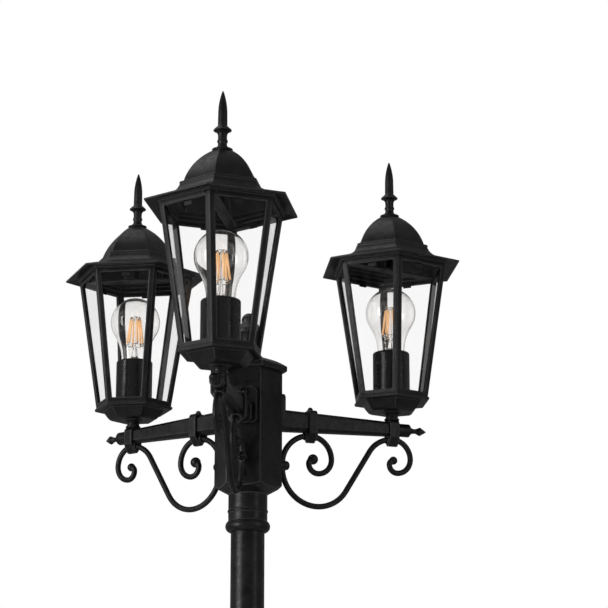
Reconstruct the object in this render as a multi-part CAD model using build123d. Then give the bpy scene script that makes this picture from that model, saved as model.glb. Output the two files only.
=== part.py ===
from build123d import *
import os
from math import atan2, cos, degrees, pi, radians, sin

# A black cast aluminium lamp post: three hexagonal lanterns on arms 120 degrees apart.
# Millimetres, +Z up. The origin is the centre of the ground face, on the pole's axis,
# and the front arm points along -Y. "r" is a distance from the pole's axis and "corner_r"
# is a hexagon's corner radius.

# ---- fits ----
FIT = 0.1                # radial gap of a tube or spigot in its socket
TAPPED_FIT = 0.05        # radial gap of a screw in its tapped hole
HOLE_FIT = 0.3           # radial gap of a screw or stud in a plain hole
REST_GAP = 0.1           # flat faces of pieces that come apart in use
MOVING_GAP = 0.3         # curved faces of pieces that come apart in use

# ---- plinth and fluted bell ----
PLINTH_R = 113.5         # corner radius of the hexagonal foot
PLINTH_EDGE = 32.0
PLINTH_SLOPE = 30.0
PLINTH_SHOULDER = 5.0    # how far the slope's top corners stand out past the foot ring
PLINTH_TURN = -7.0       # degrees from the arms
BASE_WALL = 6.0
FOOT_RING_R = 79.0
FOOT_RING_H = 18.0
FOOT_FLARE_H = 14.0
BELL_FOOT_R = 71.8
BELL_TOP_R = 49.5
BELL_H = 283.0
BELL_FLUTES = 20
BELL_FLUTE_WIDTH = 13.0
BELL_FLUTE_DEPTH = 2.2
ANCHOR_COUNT = 3
ANCHOR_INSET = 21.5      # from a plinth corner to the hole's axis
ANCHOR_HOLE_R = 5.0
ANCHOR_BOSS_R = 13.5
ANCHOR_FACE_R = 8.5      # spot face for the anchor's washer
ANCHOR_PAD_H = 36.0

# ---- capital between the bell and the column ----
CAPITAL_BEAD_R = 53.0
CAPITAL_BEAD_H = 40.0
CAPITAL_NECK_R = 40.7
CAPITAL_NECK_H = 26.0
CAPITAL_RING_R = 52.0
CAPITAL_RING_H = 54.0
SPIGOT = 20.0            # depth to which the pole's castings enter one another

# ---- fluted column ----
COLUMN_H = 480.0
COLUMN_FOOT_R = 35.0
COLUMN_FOOT_H = 10.0
COLUMN_LOW_R = 30.5
COLUMN_TOP_R = 22.5
COLUMN_WALL = 6.0
COLUMN_FLUTES = 14
COLUMN_FLUTE_WIDTH = 7.0
COLUMN_FLUTE_DEPTH = 1.4

# ---- couplings and tubes ----
LOWER_COUPLING_H = 79.0
LOWER_COUPLING_R = 30.0
UPPER_COUPLING_H = 82.0
UPPER_COUPLING_R = 24.6
COUPLING_LIP = 2.4       # wall of a coupling round its tube's mouth
MIDDLE_TUBE_LOW_R = 20.5
TUBE_R = 18.8            # the upper tube, and the top of the middle tube
TUBE_WALL = 2.8
MIDDLE_TUBE_H = 503.0
UPPER_TUBE_H = 348.0
SET_SCREW_R = 2.5

# ---- hub ----
HUB_R = 38.4             # corner radius of the hexagonal hub
HUB_BODY_H = 130.0
HUB_SKIRT_H = 9.0
HUB_COLLAR_R = 21.8
HUB_COLLAR_H = 30.0
HUB_BEAD_R = 25.0
HUB_BEAD_H = 12.0
HUB_WALL = 5.0
HUB_FLOOR = 6.0
HUB_CABLE_R = 14.0       # way for the supply cable through the hub's floor
HUB_BRIDGE = (10.0, 8.0) # width and height of the bar that takes the hub finial's shank
HUB_BRIDGE_DROP = 12.0   # from the hub's top edge down to the bar
HUB_CAP_R = 44.0
HUB_CAP_EDGE = 7.0
HUB_CAP_RISE = 11.0
HUB_CAP_LIP = 4.0        # how far the cap's register enters the hub
HUB_FINIAL_SINK = 1.6    # depth of the finial's seat below the cap's peak
HUB_FINIAL_SHANK_R = 2.5
HUB_FINIAL_FOOT_R = 12.5
HUB_FINIAL_NECK_R = 8.6
HUB_FINIAL_BRIM_R = 16.4
HUB_FINIAL_DOME_R = 8.4
HUB_FINIAL_BRIM_Z = 30.0 # brim's edge above the seat
HUB_FINIAL_CAP_RISE = 12.0   # from the brim's edge up to the foot of the dome
HUB_FINIAL_H = 53.5

# ---- arms ----
ARMS = {"front": -90.0, "right": 30.0, "left": 150.0}
ARM_Z_ON_HUB = 78.0      # arm axis above the hub body's lower edge
ARM_REACH = 177.0        # lantern axis
ARM_ROOT = (18.0, 24.4)  # width and height at the flange
ARM_END = (13.0, 15.6)   # width and height past the lantern
ARM_CHAMFER = 4.6
ARM_TAIL = 6.0           # tapered section past the lantern axis
ARM_TIP_R = 7.6          # round boss of the arm's finial
ARM_TIP = 37.0           # length of the arm past the tapered section
ARM_TIP_SHOULDER = 21.5  # shoulder, neck and bead of the arm's finial, back from its point
ARM_TIP_NECK = 13.5
ARM_TIP_BEAD = 7.7
ARM_BORE_R = 4.0
FLANGE = (32.0, 42.0, 6.0)   # width, height, thickness
FLANGE_CORNER = 6.0
FLANGE_EDGE = 1.2
FLANGE_LOW = 13.0        # flange's lower edge below the arm's axis
ARM_SPIGOT_R = 6.0
ARM_SCREW_UP = 22.0
ARM_SCREW_R = 2.5
ARM_SCREW_HEAD_R = 6.0
SCROLL_SCREW_DOWN = 51.0
SCROLL_SCREW_HEAD_R = 5.0
SCREW_HEAD_H = 4.2
SCREW_IN_HUB = 3.0       # thread that shows inside the hub's wall

# ---- scrolls ----
ROD_R = 3.25
ROD_GAP = 0.45           # air between the rod and the arm above it
INNER_CLAMP_R = 75.0     # where the clamps stand on the arm
INNER_CLAMP_W = 9.5
OUTER_CLAMP_W = 11.5
CLAMP_WALL = 2.4
CLAMP_FIT = 0.1
CLAMP_SLEEVE = 15.0      # length of the sleeve that holds the rod
CLAMP_KNOB_R = 3.1
SCROLL_HUB_R = 42.0      # the rod's nearest reach to the pole's axis
SCROLL_BOWL_R = 42.0
SCROLL_SHOULDER_R = 34.0
SCROLL_DROP = 4.5        # straight run from the shoulder down to the bowl
SCROLL_REVERSE_R = 34.7
SCROLL_REVERSE_TURN = 58.0
INNER_CURL = (26.0, 16.8, 11.0, 5.0)    # quarter turns, from the clamp inwards
OUTER_CURL = (22.0, 17.0, 9.5, 5.0)
INNER_BALL_R = 6.0
OUTER_BALL_R = 4.8

# ---- lantern floor and lampholder ----
LANTERN_TURN = {"front": 0.0, "right": 13.5, "left": 30.0}   # corner from the arm's line
NECK_H = 9.5
NECK_BEAD = (8.8, 2.6)   # radius and height of the bead at the neck's foot
NECK_TOP_R = 11.6
NECK_R = 7.2
FLOOR_FOOT_R = 26.0
FLOOR_BOWL_R = 37.0
FLOOR_BOWL_H = 11.5
FLOOR_RIM_R = 47.0
FLOOR_RIM_H = 3.7
RECESS_R = 33.0          # corner radius of the lampholder's recess
NIPPLE_R = 5.0
NIPPLE_WALL = 1.7
NIPPLE_IN_ARM = 3.5
NIPPLE_IN_HOLDER = 5.0
HOLDER_R = 21.4
HOLDER_H = 59.8
HOLDER_ROUND = 2.4
HOLDER_FOOT = 3.0
HOLDER_CHAMBER_H = 23.3
HOLDER_CHAMBER_R = 17.5
HOLDER_WEB = 4.0
HOLDER_MOUTH_H = 8.0
LEAD_R = 2.0
LEAD_BEND = 6.0
LEAD_SPACING = 7.0
BLOCK = (26.0, 10.0, 20.0)   # terminal block: width, depth, height

# ---- cage and panes ----
CAGE_FOOT_R = 45.2
CAGE_HEAD_R = 70.2
CAGE_H = 157.0
CAGE_WALL = 3.0
POST_LEAF = 5.8          # width of a corner post on each of its two faces
BOTTOM_RAIL = 5.0
TOP_RAIL = 5.0
PANE = 2.0
PANE_FIT = 0.2
PANE_MARGIN = 3.4        # from the cage's corner line to a pane's edge
CLIP_WIDTH = 10.0
CLIP_SHEET = 1.0
CLIP_DROP = 6.0
BAR = (12.0, 2.5)        # crossbar: width, thickness
BAR_INSET = 1.5
STUD_R = 3.0
STUD_H = 80.0

# ---- roof and finial ----
EAVE_R = 87.0
EAVE_LIP = 1.7
BRIM_R = 59.0
BRIM_RISE = 8.6
BRIM_SHEET = 3.0
SEAT_WIDTH = 8.0         # flat ring of the roof that rests on the cage
FLARE_TOP_R = 47.6
FLARE_RISE = 11.7
ROOF_BEAD_H = 3.6
DOME_FOOT_R = 43.5
DOME_SHOULDER = (0.745, 0.54)   # shares of the foot's radius and of the rise
DOME_RISE = 38.8
DOME_TOP_R = 11.0
ROOF_WALL = 2.8
WASHER = (9.5, 1.2)      # radius and thickness
FINIAL_BASE_R = 11.3
FINIAL_NECK_R = 4.95
FINIAL_BEAD_R = 5.8
FINIAL_COLLAR_R = 9.9
FINIAL_SPINDLE_R = 5.0
FINIAL_NECK_H = 18.0
FINIAL_COLLAR_H = 9.6
FINIAL_SPINDLE_H = 16.0
FINIAL_POINT_H = 24.0
THREAD_FIT = 0.06        # radial gap of the stud in the finial

# ---- bulb ----
CAP_R = 13.1             # 27 mm lamp screw
CAP_PITCH = 25.4 / 7
CAP_TURNS = 5
CAP_TIP_H = 6.0
CAP_FIT = 0.5
CAP_SHEET = 0.8
CAP_RIM_H = 1.0          # rim under the glass
BULB_R = 29.2
BULB_H = 81.0            # glass from the cap's edge to its top
BULB_NECK_R = 15.6
BULB_SHOULDER = (17.2, 7.0)   # radius and height where the neck opens into the bulb
BULB_WALL = 1.0
STEM_R = 6.0
STEM_H = 20.0
STEM_FOOT = 1.2          # thickness of the glass disc that stands on the cap's rim
FILAMENTS = 6
FILAMENT_R = 0.9
FILAMENT_RINGS = (10.0, 5.5)   # where the filaments stand at the foot and at the top
FILAMENT_FOOT = 24.0
FILAMENT_LENGTH = 34.0

# ---- heights worked out from the sizes above ----
bell_foot_z = PLINTH_EDGE + PLINTH_SLOPE
bell_top_z = bell_foot_z + BELL_H
neck_z = bell_top_z + CAPITAL_BEAD_H
ring_z = neck_z + CAPITAL_NECK_H
column_z = ring_z + CAPITAL_RING_H
lower_coupling_z = column_z + COLUMN_H
middle_tube_z = lower_coupling_z + LOWER_COUPLING_H
upper_coupling_z = middle_tube_z + MIDDLE_TUBE_H
upper_tube_z = upper_coupling_z + UPPER_COUPLING_H
hub_z = upper_tube_z + UPPER_TUBE_H
collar_z = hub_z + HUB_BEAD_H
skirt_z = collar_z + HUB_COLLAR_H
hub_body_z = skirt_z + HUB_SKIRT_H
hub_top_z = hub_body_z + HUB_BODY_H
arm_z = hub_body_z + ARM_Z_ON_HUB

COS30 = cos(radians(30))
hub_face = HUB_R * COS30
hub_inner_r = HUB_R - HUB_WALL / COS30
arm_end_r = ARM_REACH + ARM_TAIL
root_r = hub_face + FLANGE[2]
cavity_z = skirt_z + HUB_FLOOR
bridge_top = hub_top_z - HUB_BRIDGE_DROP
hub_finial_z = hub_top_z + HUB_CAP_EDGE + HUB_CAP_RISE - HUB_FINIAL_SINK

# Heights inside a lantern, from the underside of its floor.
recess_z = FLOOR_BOWL_H
floor_top = FLOOR_BOWL_H + FLOOR_RIM_H
cage_top = floor_top + CAGE_H
eave_z = cage_top + REST_GAP
brim_top_z = eave_z + EAVE_LIP + BRIM_RISE
flare_top_z = brim_top_z + FLARE_RISE
dome_z = flare_top_z + ROOF_BEAD_H
roof_top_z = dome_z + DOME_RISE
washer_z = roof_top_z + REST_GAP
finial_z = washer_z + WASHER[1] + REST_GAP
bar_z = cage_top - BAR[1]
holder_top = recess_z + HOLDER_H
web_z = recess_z + HOLDER_FOOT + HOLDER_CHAMBER_H
cap_z = web_z + HOLDER_WEB + MOVING_GAP
cap_top = cap_z + CAP_TIP_H + CAP_TURNS * CAP_PITCH + CAP_RIM_H
lantern_on_arm = ARM_END[1] / 2 + CLAMP_WALL + NECK_H


# ---- helpers ----
def outline(*path):
    """A closed face in the XZ plane. A step is an end point, or a (through, end) pair for an arc."""
    edges, here = [], path[0]
    for step in path[1:]:
        if isinstance(step[0], tuple):
            edges.append(ThreePointArc(here, *step))
            here = step[1]
        else:
            edges.append(Line(here, step))
            here = step
    edges.append(Line(here, path[0]))
    return make_face([Plane.XZ * edge for edge in edges])


def turned(*path):
    """A round piece: the outline of (radius, height) steps, spun about Z."""
    return revolve(outline(*path), Axis.Z)


def rod(radius, low, high):
    """A cylinder on the Z axis between two heights."""
    return Pos(0, 0, low) * Cylinder(radius, high - low, align=(Align.CENTER, Align.CENTER, Align.MIN))


def along_x(shape):
    """Lay a piece made about +Z along +X."""
    return Rot(0, 90, 0) * shape


def crown(r, z, h):
    """The arc of a round dome, from its edge at (r, z) up to the axis, as a step of an outline."""
    ball = (r ** 2 + h ** 2) / (2 * h)
    centre = z + h - ball
    half = atan2(r, z - centre) / 2
    return (ball * sin(half), centre + ball * cos(half)), (0, z + h)


def hexagon(corner_r, z):
    return Pos(0, 0, z) * RegularPolygon(corner_r, 6)


def hex_prism(corner_r, low, high):
    return extrude(hexagon(corner_r, low), high - low)


def hex_frustum(low_r, low, high_r, high):
    return loft([hexagon(low_r, low), hexagon(high_r, high)], ruled=True)


def hex_turned(*path):
    """A piece whose every level cut is a hexagon: the outline of (corner radius, height)
    steps starts and ends on the axis, and is crossed with itself three ways."""
    flat = [tuple((r * COS30, z) for r, z in step) if isinstance(step[0], tuple)
            else (step[0] * COS30, step[1]) for step in path]
    half = outline(*flat)
    across = 2 * max(p[0] for step in flat for p in (step if isinstance(step[0], tuple) else (step,)))
    slab = extrude(half + mirror(half, about=Plane.YZ), across, both=True)
    return (Rot(0, 0, 30) * slab) & (Rot(0, 0, 90) * slab) & (Rot(0, 0, 150) * slab)


def ring_of(shape, count, first=0.0):
    """Copies of a piece round the Z axis."""
    return [Rot(0, 0, first + 360 * i / count) * shape for i in range(count)]


def flute(low_r, low, high_r, high, width, depth):
    """A round-ended cutter that lies along a cone's side and cuts a groove of this width."""
    cutter_r = (width ** 2 / 4 + depth ** 2) / (2 * depth)
    length = high - low
    capsule = turned((0, -cutter_r), ((cutter_r * sin(pi / 4), -cutter_r * cos(pi / 4)), (cutter_r, 0)),
                     (cutter_r, length),
                     ((cutter_r * sin(pi / 4), length + cutter_r * cos(pi / 4)), (0, length + cutter_r)))
    lean = degrees(atan2(high_r - low_r, length))
    return Pos(low_r + cutter_r - depth, 0, low) * Rot(0, lean, 0) * capsule


def set_screw(z, inner_r, outer_r, radius=SET_SCREW_R, gap=0.0):
    """A headless screw through a socket's wall at the back of the pole."""
    return Rot(0, 0, 90) * Pos(0, 0, z) * along_x(rod(radius + gap, inner_r, outer_r))


def domed_screw(shank_r, head_r, shank_end, seat, head_h=SCREW_HEAD_H):
    """A round-headed screw along Z, from the end of its shank to its seat and its head's crown."""
    return turned((0, shank_end), (shank_r, shank_end), (shank_r, seat), (head_r, seat),
                  (head_r, seat + 0.25 * head_h), crown(head_r, seat + 0.25 * head_h, 0.75 * head_h))


# ---- pole ----
def pole_screws(gap=0.0):
    """The set screws that hold the pole's sections, or their tapped holes with a gap."""
    reach = 3.0 if gap else -0.3          # a hole runs out of its socket's wall, a screw stays just inside
    inside = -1.0 if gap else FIT / 2
    tube_screw_z = hub_z + HUB_BEAD_H + HUB_COLLAR_H / 2
    coupling_r = TUBE_R + COUPLING_LIP
    middle_low = MIDDLE_TUBE_LOW_R + COUPLING_LIP
    sites = [(tube_screw_z, TUBE_R, HUB_COLLAR_R),
             (upper_tube_z - SPIGOT / 2, TUBE_R, coupling_r),
             (upper_coupling_z + SPIGOT / 2, TUBE_R, coupling_r),
             (middle_tube_z - SPIGOT / 2, MIDDLE_TUBE_LOW_R, middle_low),
             (column_z - SPIGOT / 2, COLUMN_LOW_R, COLUMN_FOOT_R + 3),
             (bell_top_z - SPIGOT / 2, BELL_TOP_R - BASE_WALL, BELL_TOP_R)]
    return [set_screw(z, inner + inside, outer + reach, gap=gap) for z, inner, outer in sites]


def base_casting():
    plinth_top_r = FOOT_RING_R + PLINTH_SHOULDER
    wall_r = BASE_WALL / COS30
    flare_z = bell_foot_z + FOOT_RING_H
    bell_z = flare_z + FOOT_FLARE_H
    plinth = hex_prism(PLINTH_R, 0, PLINTH_EDGE)
    plinth += hex_frustum(PLINTH_R, PLINTH_EDGE, plinth_top_r, bell_foot_z)
    ring_low = bell_foot_z - BASE_WALL
    bell = turned((0, ring_low), (FOOT_RING_R - 3, ring_low), (FOOT_RING_R - 3, bell_foot_z - 1),
                  ((FOOT_RING_R, bell_foot_z + FOOT_RING_H / 2 - 1), (FOOT_RING_R - 2, flare_z)),
                  ((BELL_FOOT_R + 1.2, flare_z + FOOT_FLARE_H / 2), (BELL_FOOT_R, bell_z)),
                  (BELL_TOP_R, bell_top_z), (0, bell_top_z))
    groove = flute(BELL_FOOT_R, bell_z + BELL_FLUTE_WIDTH, BELL_TOP_R, bell_top_z - BELL_FLUTE_WIDTH,
                   BELL_FLUTE_WIDTH, BELL_FLUTE_DEPTH)
    plinth = Rot(0, 0, PLINTH_TURN) * plinth
    outside = plinth + bell
    roof_z = PLINTH_EDGE - BASE_WALL / 2
    hollow = hex_prism(PLINTH_R - wall_r, -1, roof_z)
    hollow += hex_frustum(PLINTH_R - wall_r, roof_z, plinth_top_r - wall_r, bell_foot_z - BASE_WALL / 2)
    hollow = Rot(0, 0, PLINTH_TURN) * hollow
    hollow += turned((0, roof_z), (BELL_FOOT_R - BASE_WALL, roof_z), (BELL_FOOT_R - BASE_WALL, bell_z),
                     (BELL_TOP_R - BASE_WALL, bell_top_z - SPIGOT - BASE_WALL),
                     (BELL_TOP_R - BASE_WALL, bell_top_z + 1), (0, bell_top_z + 1))
    corner = Pos(PLINTH_R - ANCHOR_INSET, 0, 0)
    casting = outside - hollow
    for boss in ring_of(corner * rod(ANCHOR_BOSS_R, 0, bell_foot_z), ANCHOR_COUNT, PLINTH_TURN):
        casting += boss & plinth
    spot_face = corner * rod(ANCHOR_FACE_R, ANCHOR_PAD_H, bell_foot_z + ANCHOR_PAD_H)
    hole = corner * rod(ANCHOR_HOLE_R, -1, bell_foot_z)
    for shape in (spot_face, hole):
        casting -= ring_of(shape, ANCHOR_COUNT, PLINTH_TURN)
    casting -= ring_of(groove, BELL_FLUTES)
    return casting - pole_screws(TAPPED_FIT)


def base_capital():
    bead_mid = bell_top_z + 0.55 * CAPITAL_BEAD_H
    ring_mid = ring_z + 0.55 * CAPITAL_RING_H
    spigot_r = BELL_TOP_R - BASE_WALL - FIT
    bore_r = COLUMN_LOW_R + FIT
    return turned((bore_r - 4, bell_top_z - SPIGOT), (spigot_r, bell_top_z - SPIGOT), (spigot_r, bell_top_z),
                  (BELL_TOP_R, bell_top_z),
                  ((CAPITAL_BEAD_R, bead_mid), (CAPITAL_BEAD_R - 5, bead_mid + 0.32 * CAPITAL_BEAD_H)),
                  ((CAPITAL_NECK_R + 1.5, neck_z - 4), (CAPITAL_NECK_R, neck_z)),
                  (CAPITAL_NECK_R, ring_z), (CAPITAL_NECK_R + 2, ring_z + 6),
                  (CAPITAL_RING_R - 3, ring_z + 0.27 * CAPITAL_RING_H),
                  ((CAPITAL_RING_R, ring_mid), (CAPITAL_RING_R - 3, ring_z + 0.8 * CAPITAL_RING_H)),
                  ((COLUMN_FOOT_R + 7, column_z - 4), (COLUMN_FOOT_R + 2, column_z)),
                  (bore_r, column_z), (bore_r, column_z - SPIGOT - FIT),
                  (bore_r - 4, column_z - SPIGOT - FIT)) - pole_screws(TAPPED_FIT)


def lower_column():
    low_bore = COLUMN_LOW_R - COLUMN_WALL
    top_bore = COLUMN_TOP_R - COLUMN_WALL
    foot_top = column_z + COLUMN_FOOT_H
    top = lower_coupling_z
    column = turned((low_bore, column_z - SPIGOT), (COLUMN_LOW_R, column_z - SPIGOT), (COLUMN_LOW_R, column_z),
                    (COLUMN_FOOT_R, column_z), (COLUMN_FOOT_R, foot_top),
                    ((COLUMN_LOW_R + 1, foot_top + 5), (COLUMN_LOW_R, foot_top + 12)),
                    (COLUMN_TOP_R, top), (top_bore, top), (top_bore, top - SPIGOT - 5))
    groove = flute(COLUMN_LOW_R, foot_top + 3 * COLUMN_FLUTE_WIDTH, COLUMN_TOP_R,
                   top - 3 * COLUMN_FLUTE_WIDTH, COLUMN_FLUTE_WIDTH, COLUMN_FLUTE_DEPTH)
    return column - ring_of(groove, COLUMN_FLUTES)


def lower_coupling():
    z, h, r = lower_coupling_z, LOWER_COUPLING_H, LOWER_COUPLING_R
    mouth_r = MIDDLE_TUBE_LOW_R + COUPLING_LIP
    spigot_r = COLUMN_TOP_R - COLUMN_WALL - FIT
    socket_r = MIDDLE_TUBE_LOW_R + FIT
    return turned((spigot_r - 3, z - SPIGOT), (spigot_r, z - SPIGOT), (spigot_r, z), (r - 4.5, z),
                  ((r - 3.5, z + 4), (r - 4.8, z + 8)), (r - 4.8, z + 12),
                  ((r, z + 0.46 * h), (r - 4.3, z + 0.66 * h)), (r - 4.3, z + 0.75 * h),
                  ((mouth_r + 0.6, z + 0.88 * h), (mouth_r, z + h)),
                  (socket_r, z + h), (socket_r, z + h - SPIGOT - FIT),
                  (spigot_r - 3, z + h - SPIGOT - FIT)) - pole_screws(TAPPED_FIT)


def middle_tube():
    low, high = middle_tube_z - SPIGOT, upper_coupling_z + SPIGOT
    slope_top = upper_coupling_z
    return turned((MIDDLE_TUBE_LOW_R - TUBE_WALL, low), (MIDDLE_TUBE_LOW_R, low),
                  (MIDDLE_TUBE_LOW_R, middle_tube_z), (TUBE_R, slope_top), (TUBE_R, high),
                  (TUBE_R - TUBE_WALL, high), (TUBE_R - TUBE_WALL, slope_top),
                  (MIDDLE_TUBE_LOW_R - TUBE_WALL, middle_tube_z))


def upper_coupling():
    z, h, r = upper_coupling_z, UPPER_COUPLING_H, UPPER_COUPLING_R
    mouth_r = TUBE_R + COUPLING_LIP
    bore_r = TUBE_R + FIT
    web_r = TUBE_R - TUBE_WALL
    return turned((bore_r, z), (mouth_r + 0.3, z), ((mouth_r + 1, z + 4), (mouth_r + 0.3, z + 8)),
                  (mouth_r, z + 13), (r - 0.8, z + 0.29 * h),
                  ((r, z + 0.36 * h), (r - 1.2, z + 0.45 * h)), (r - 2.2, z + 0.48 * h),
                  ((r - 0.6, z + 0.58 * h), (mouth_r + 0.6, z + 0.8 * h)), (mouth_r, z + 0.88 * h),
                  ((mouth_r + 1, z + 0.94 * h), (mouth_r, z + h)),
                  (bore_r, z + h), (bore_r, z + h - SPIGOT - FIT), (web_r, z + h - SPIGOT - FIT),
                  (web_r, z + SPIGOT + FIT), (bore_r, z + SPIGOT + FIT)) - pole_screws(TAPPED_FIT)


def upper_tube():
    low, high = upper_tube_z - SPIGOT, skirt_z
    return rod(TUBE_R, low, high) - rod(TUBE_R - TUBE_WALL, low - 1, high + 1)


# ---- hub ----
def hub_casting():
    cone = turned((0, skirt_z), (HUB_COLLAR_R, skirt_z), (HUB_R, hub_body_z), (HUB_R + 1, hub_body_z),
                  (HUB_R + 1, hub_top_z), (0, hub_top_z))
    hub = hex_prism(HUB_R, skirt_z, hub_top_z) & cone
    bead_mid = hub_z + HUB_BEAD_H / 2
    band_z = collar_z + 0.3 * HUB_COLLAR_H
    hub += turned((0, hub_z), (TUBE_R + 2.5, hub_z),
                  ((HUB_BEAD_R, bead_mid), (HUB_COLLAR_R, collar_z)),
                  (HUB_COLLAR_R, band_z), ((HUB_COLLAR_R + 0.8, band_z + 2), (HUB_COLLAR_R, band_z + 4)),
                  (HUB_COLLAR_R, skirt_z), (HUB_COLLAR_R - 1, skirt_z + HUB_FLOOR), (0, skirt_z + HUB_FLOOR))
    hub -= rod(TUBE_R + FIT, hub_z - 1, skirt_z + FIT)
    hub -= rod(HUB_CABLE_R, skirt_z, cavity_z + 1)
    hub -= hex_prism(hub_inner_r, cavity_z, hub_top_z + 1)
    bridge = Pos(0, 0, bridge_top - HUB_BRIDGE[1] / 2) * Box(2 * HUB_R, *HUB_BRIDGE)
    hub += bridge & hex_prism(HUB_R - 1, cavity_z, hub_top_z)
    hub -= rod(HUB_FINIAL_SHANK_R + TAPPED_FIT, bridge_top - 2 * HUB_BRIDGE[1], hub_top_z)
    for angle in ARMS.values():
        hub -= on_arm(angle, arm_fixings(TAPPED_FIT))
    return hub - pole_screws(TAPPED_FIT)


def hub_cap():
    top = hub_top_z + HUB_CAP_EDGE
    cap = hex_turned((0, hub_top_z), (HUB_CAP_R - 1, hub_top_z), (HUB_CAP_R, hub_top_z + 1),
                     (HUB_CAP_R, top - 1.5), ((HUB_CAP_R - 0.5, top - 0.5), (HUB_CAP_R - 1.6, top)),
                     ((0.62 * HUB_CAP_R, top + 0.68 * HUB_CAP_RISE), (0, top + HUB_CAP_RISE)))
    register_r = hub_inner_r - 2 * FIT
    register = hex_prism(register_r, hub_top_z - HUB_CAP_LIP, hub_top_z)
    register -= hex_prism(register_r - HUB_WALL, hub_top_z - HUB_CAP_LIP, hub_top_z)
    cap += register
    seat_r = HUB_FINIAL_FOOT_R + HOLE_FIT
    return cap - [rod(HUB_FINIAL_SHANK_R + HOLE_FIT, hub_top_z - 1, hub_finial_z + 1),
                  rod(seat_r, hub_finial_z, hub_finial_z + 2 * HUB_FINIAL_SINK)]


def hub_finial():
    """The acorn that holds the cap down, with its threaded shank through the bridge."""
    z, foot, neck, brim, dome = (hub_finial_z, HUB_FINIAL_FOOT_R, HUB_FINIAL_NECK_R, HUB_FINIAL_BRIM_R,
                                 HUB_FINIAL_DOME_R)
    shank_end = bridge_top - HUB_BRIDGE[1] - 2
    brim_z = z + HUB_FINIAL_BRIM_Z
    dome_z = brim_z + HUB_FINIAL_CAP_RISE
    return turned((0, shank_end), (HUB_FINIAL_SHANK_R, shank_end), (HUB_FINIAL_SHANK_R, z), (foot, z),
                  (foot, z + 3), ((neck + 1.4, z + 7), (neck, z + 12)), (neck, z + 16),
                  ((neck + 1.2, z + 21), (0.76 * brim, brim_z - 3.5)), (brim, brim_z - 1),
                  ((brim + 0.5, brim_z + 2), (brim - 0.7, brim_z + 4.5)),
                  ((brim - 3.6, brim_z + 7), (dome + 2.6, brim_z + 9.5)), (dome, dome_z),
                  crown(dome, dome_z, z + HUB_FINIAL_H - dome_z))


def terminal_block():
    """A three-way block on the hub's free inner face, opposite the front arm."""
    inner_face = hub_inner_r * COS30
    block = Pos(0, inner_face - BLOCK[1] / 2, arm_z) * Box(*BLOCK)
    for i in (-1, 1):
        block -= Pos(i * LEAD_SPACING, inner_face - BLOCK[1] / 2, arm_z + BLOCK[2] / 2) * Cylinder(2, 6)
    return block


# ---- arms: made along +X with the arm's axis at z = 0, then turned to their places ----
def on_arm(angle, shapes):
    """Place pieces made in the arm's own frame."""
    place = Rot(0, 0, angle) * Pos(0, 0, arm_z)
    return [place * shape for shape in shapes] if isinstance(shapes, list) else place * shapes


def arm_size(r):
    """Width and height of the tapered section at a distance from the pole's axis."""
    share = (r - root_r) / (arm_end_r - root_r)
    return tuple(a + (b - a) * share for a, b in zip(ARM_ROOT, ARM_END))


def arm_section(r, grow=0.0):
    """The chamfered section of an arm at r."""
    width, height = (size + 2 * grow for size in arm_size(r))
    shape = chamfer(Rectangle(width, height).vertices(), ARM_CHAMFER * height / ARM_ROOT[1])
    return Plane(origin=(r, 0, 0), x_dir=(0, 1, 0), z_dir=(1, 0, 0)) * shape


def arm_body(start, end, grow=0.0):
    return loft([arm_section(start, grow), arm_section(end, grow)], ruled=True)


def arm_fixings(gap=0.0):
    """Bores in the hub for an arm's spigot and its two screws, in the arm's frame."""
    inside = hub_inner_r * COS30 - SCREW_IN_HUB
    bores = [(0, ARM_SPIGOT_R + FIT), (ARM_SCREW_UP, ARM_SCREW_R + gap),
             (-SCROLL_SCREW_DOWN, ARM_SCREW_R + gap)]
    return [Pos(0, 0, z) * along_x(rod(r, inside, hub_face + FLANGE[2])) for z, r in bores]


def arm():
    flange = Box(FLANGE[2], FLANGE[0], FLANGE[1], align=(Align.MIN, Align.CENTER, Align.MIN))
    flange = fillet(flange.edges().filter_by(Axis.X), FLANGE_CORNER)
    flange = fillet(flange.faces().sort_by(Axis.X)[-1].edges(), FLANGE_EDGE)
    piece = Pos(hub_face, 0, -FLANGE_LOW) * flange
    piece += arm_body(root_r - 1, arm_end_r)
    tip = arm_end_r + ARM_TIP
    shoulder, neck, bead = (tip - back for back in (ARM_TIP_SHOULDER, ARM_TIP_NECK, ARM_TIP_BEAD))
    piece += along_x(turned((0, arm_end_r - 1), (ARM_TIP_R, arm_end_r - 1), (ARM_TIP_R, shoulder - 1.5),
                            ((ARM_TIP_R - 0.4, shoulder - 0.4), (ARM_TIP_R - 1.5, shoulder)),
                            ((ARM_TIP_R - 3.4, shoulder + 2), (2.9, neck)), (3.1, neck + 1.2), (5.0, bead),
                            (0.5, tip), (0, tip)))
    piece += along_x(rod(ARM_SPIGOT_R, hub_inner_r * COS30, hub_face + 1))
    piece -= along_x(rod(ARM_BORE_R, 0, ARM_REACH))
    piece -= Pos(ARM_REACH, 0, 0) * (Sphere(ARM_BORE_R) + rod(ARM_BORE_R, 0, ARM_END[1]))
    nipple_low = ARM_END[1] / 2 - NIPPLE_IN_ARM
    piece -= Pos(ARM_REACH, 0, 0) * rod(NIPPLE_R + FIT, nipple_low, ARM_END[1])
    piece -= Pos(0, 0, ARM_SCREW_UP) * along_x(rod(ARM_SCREW_R + HOLE_FIT, 0, root_r + 1))
    return piece


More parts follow.
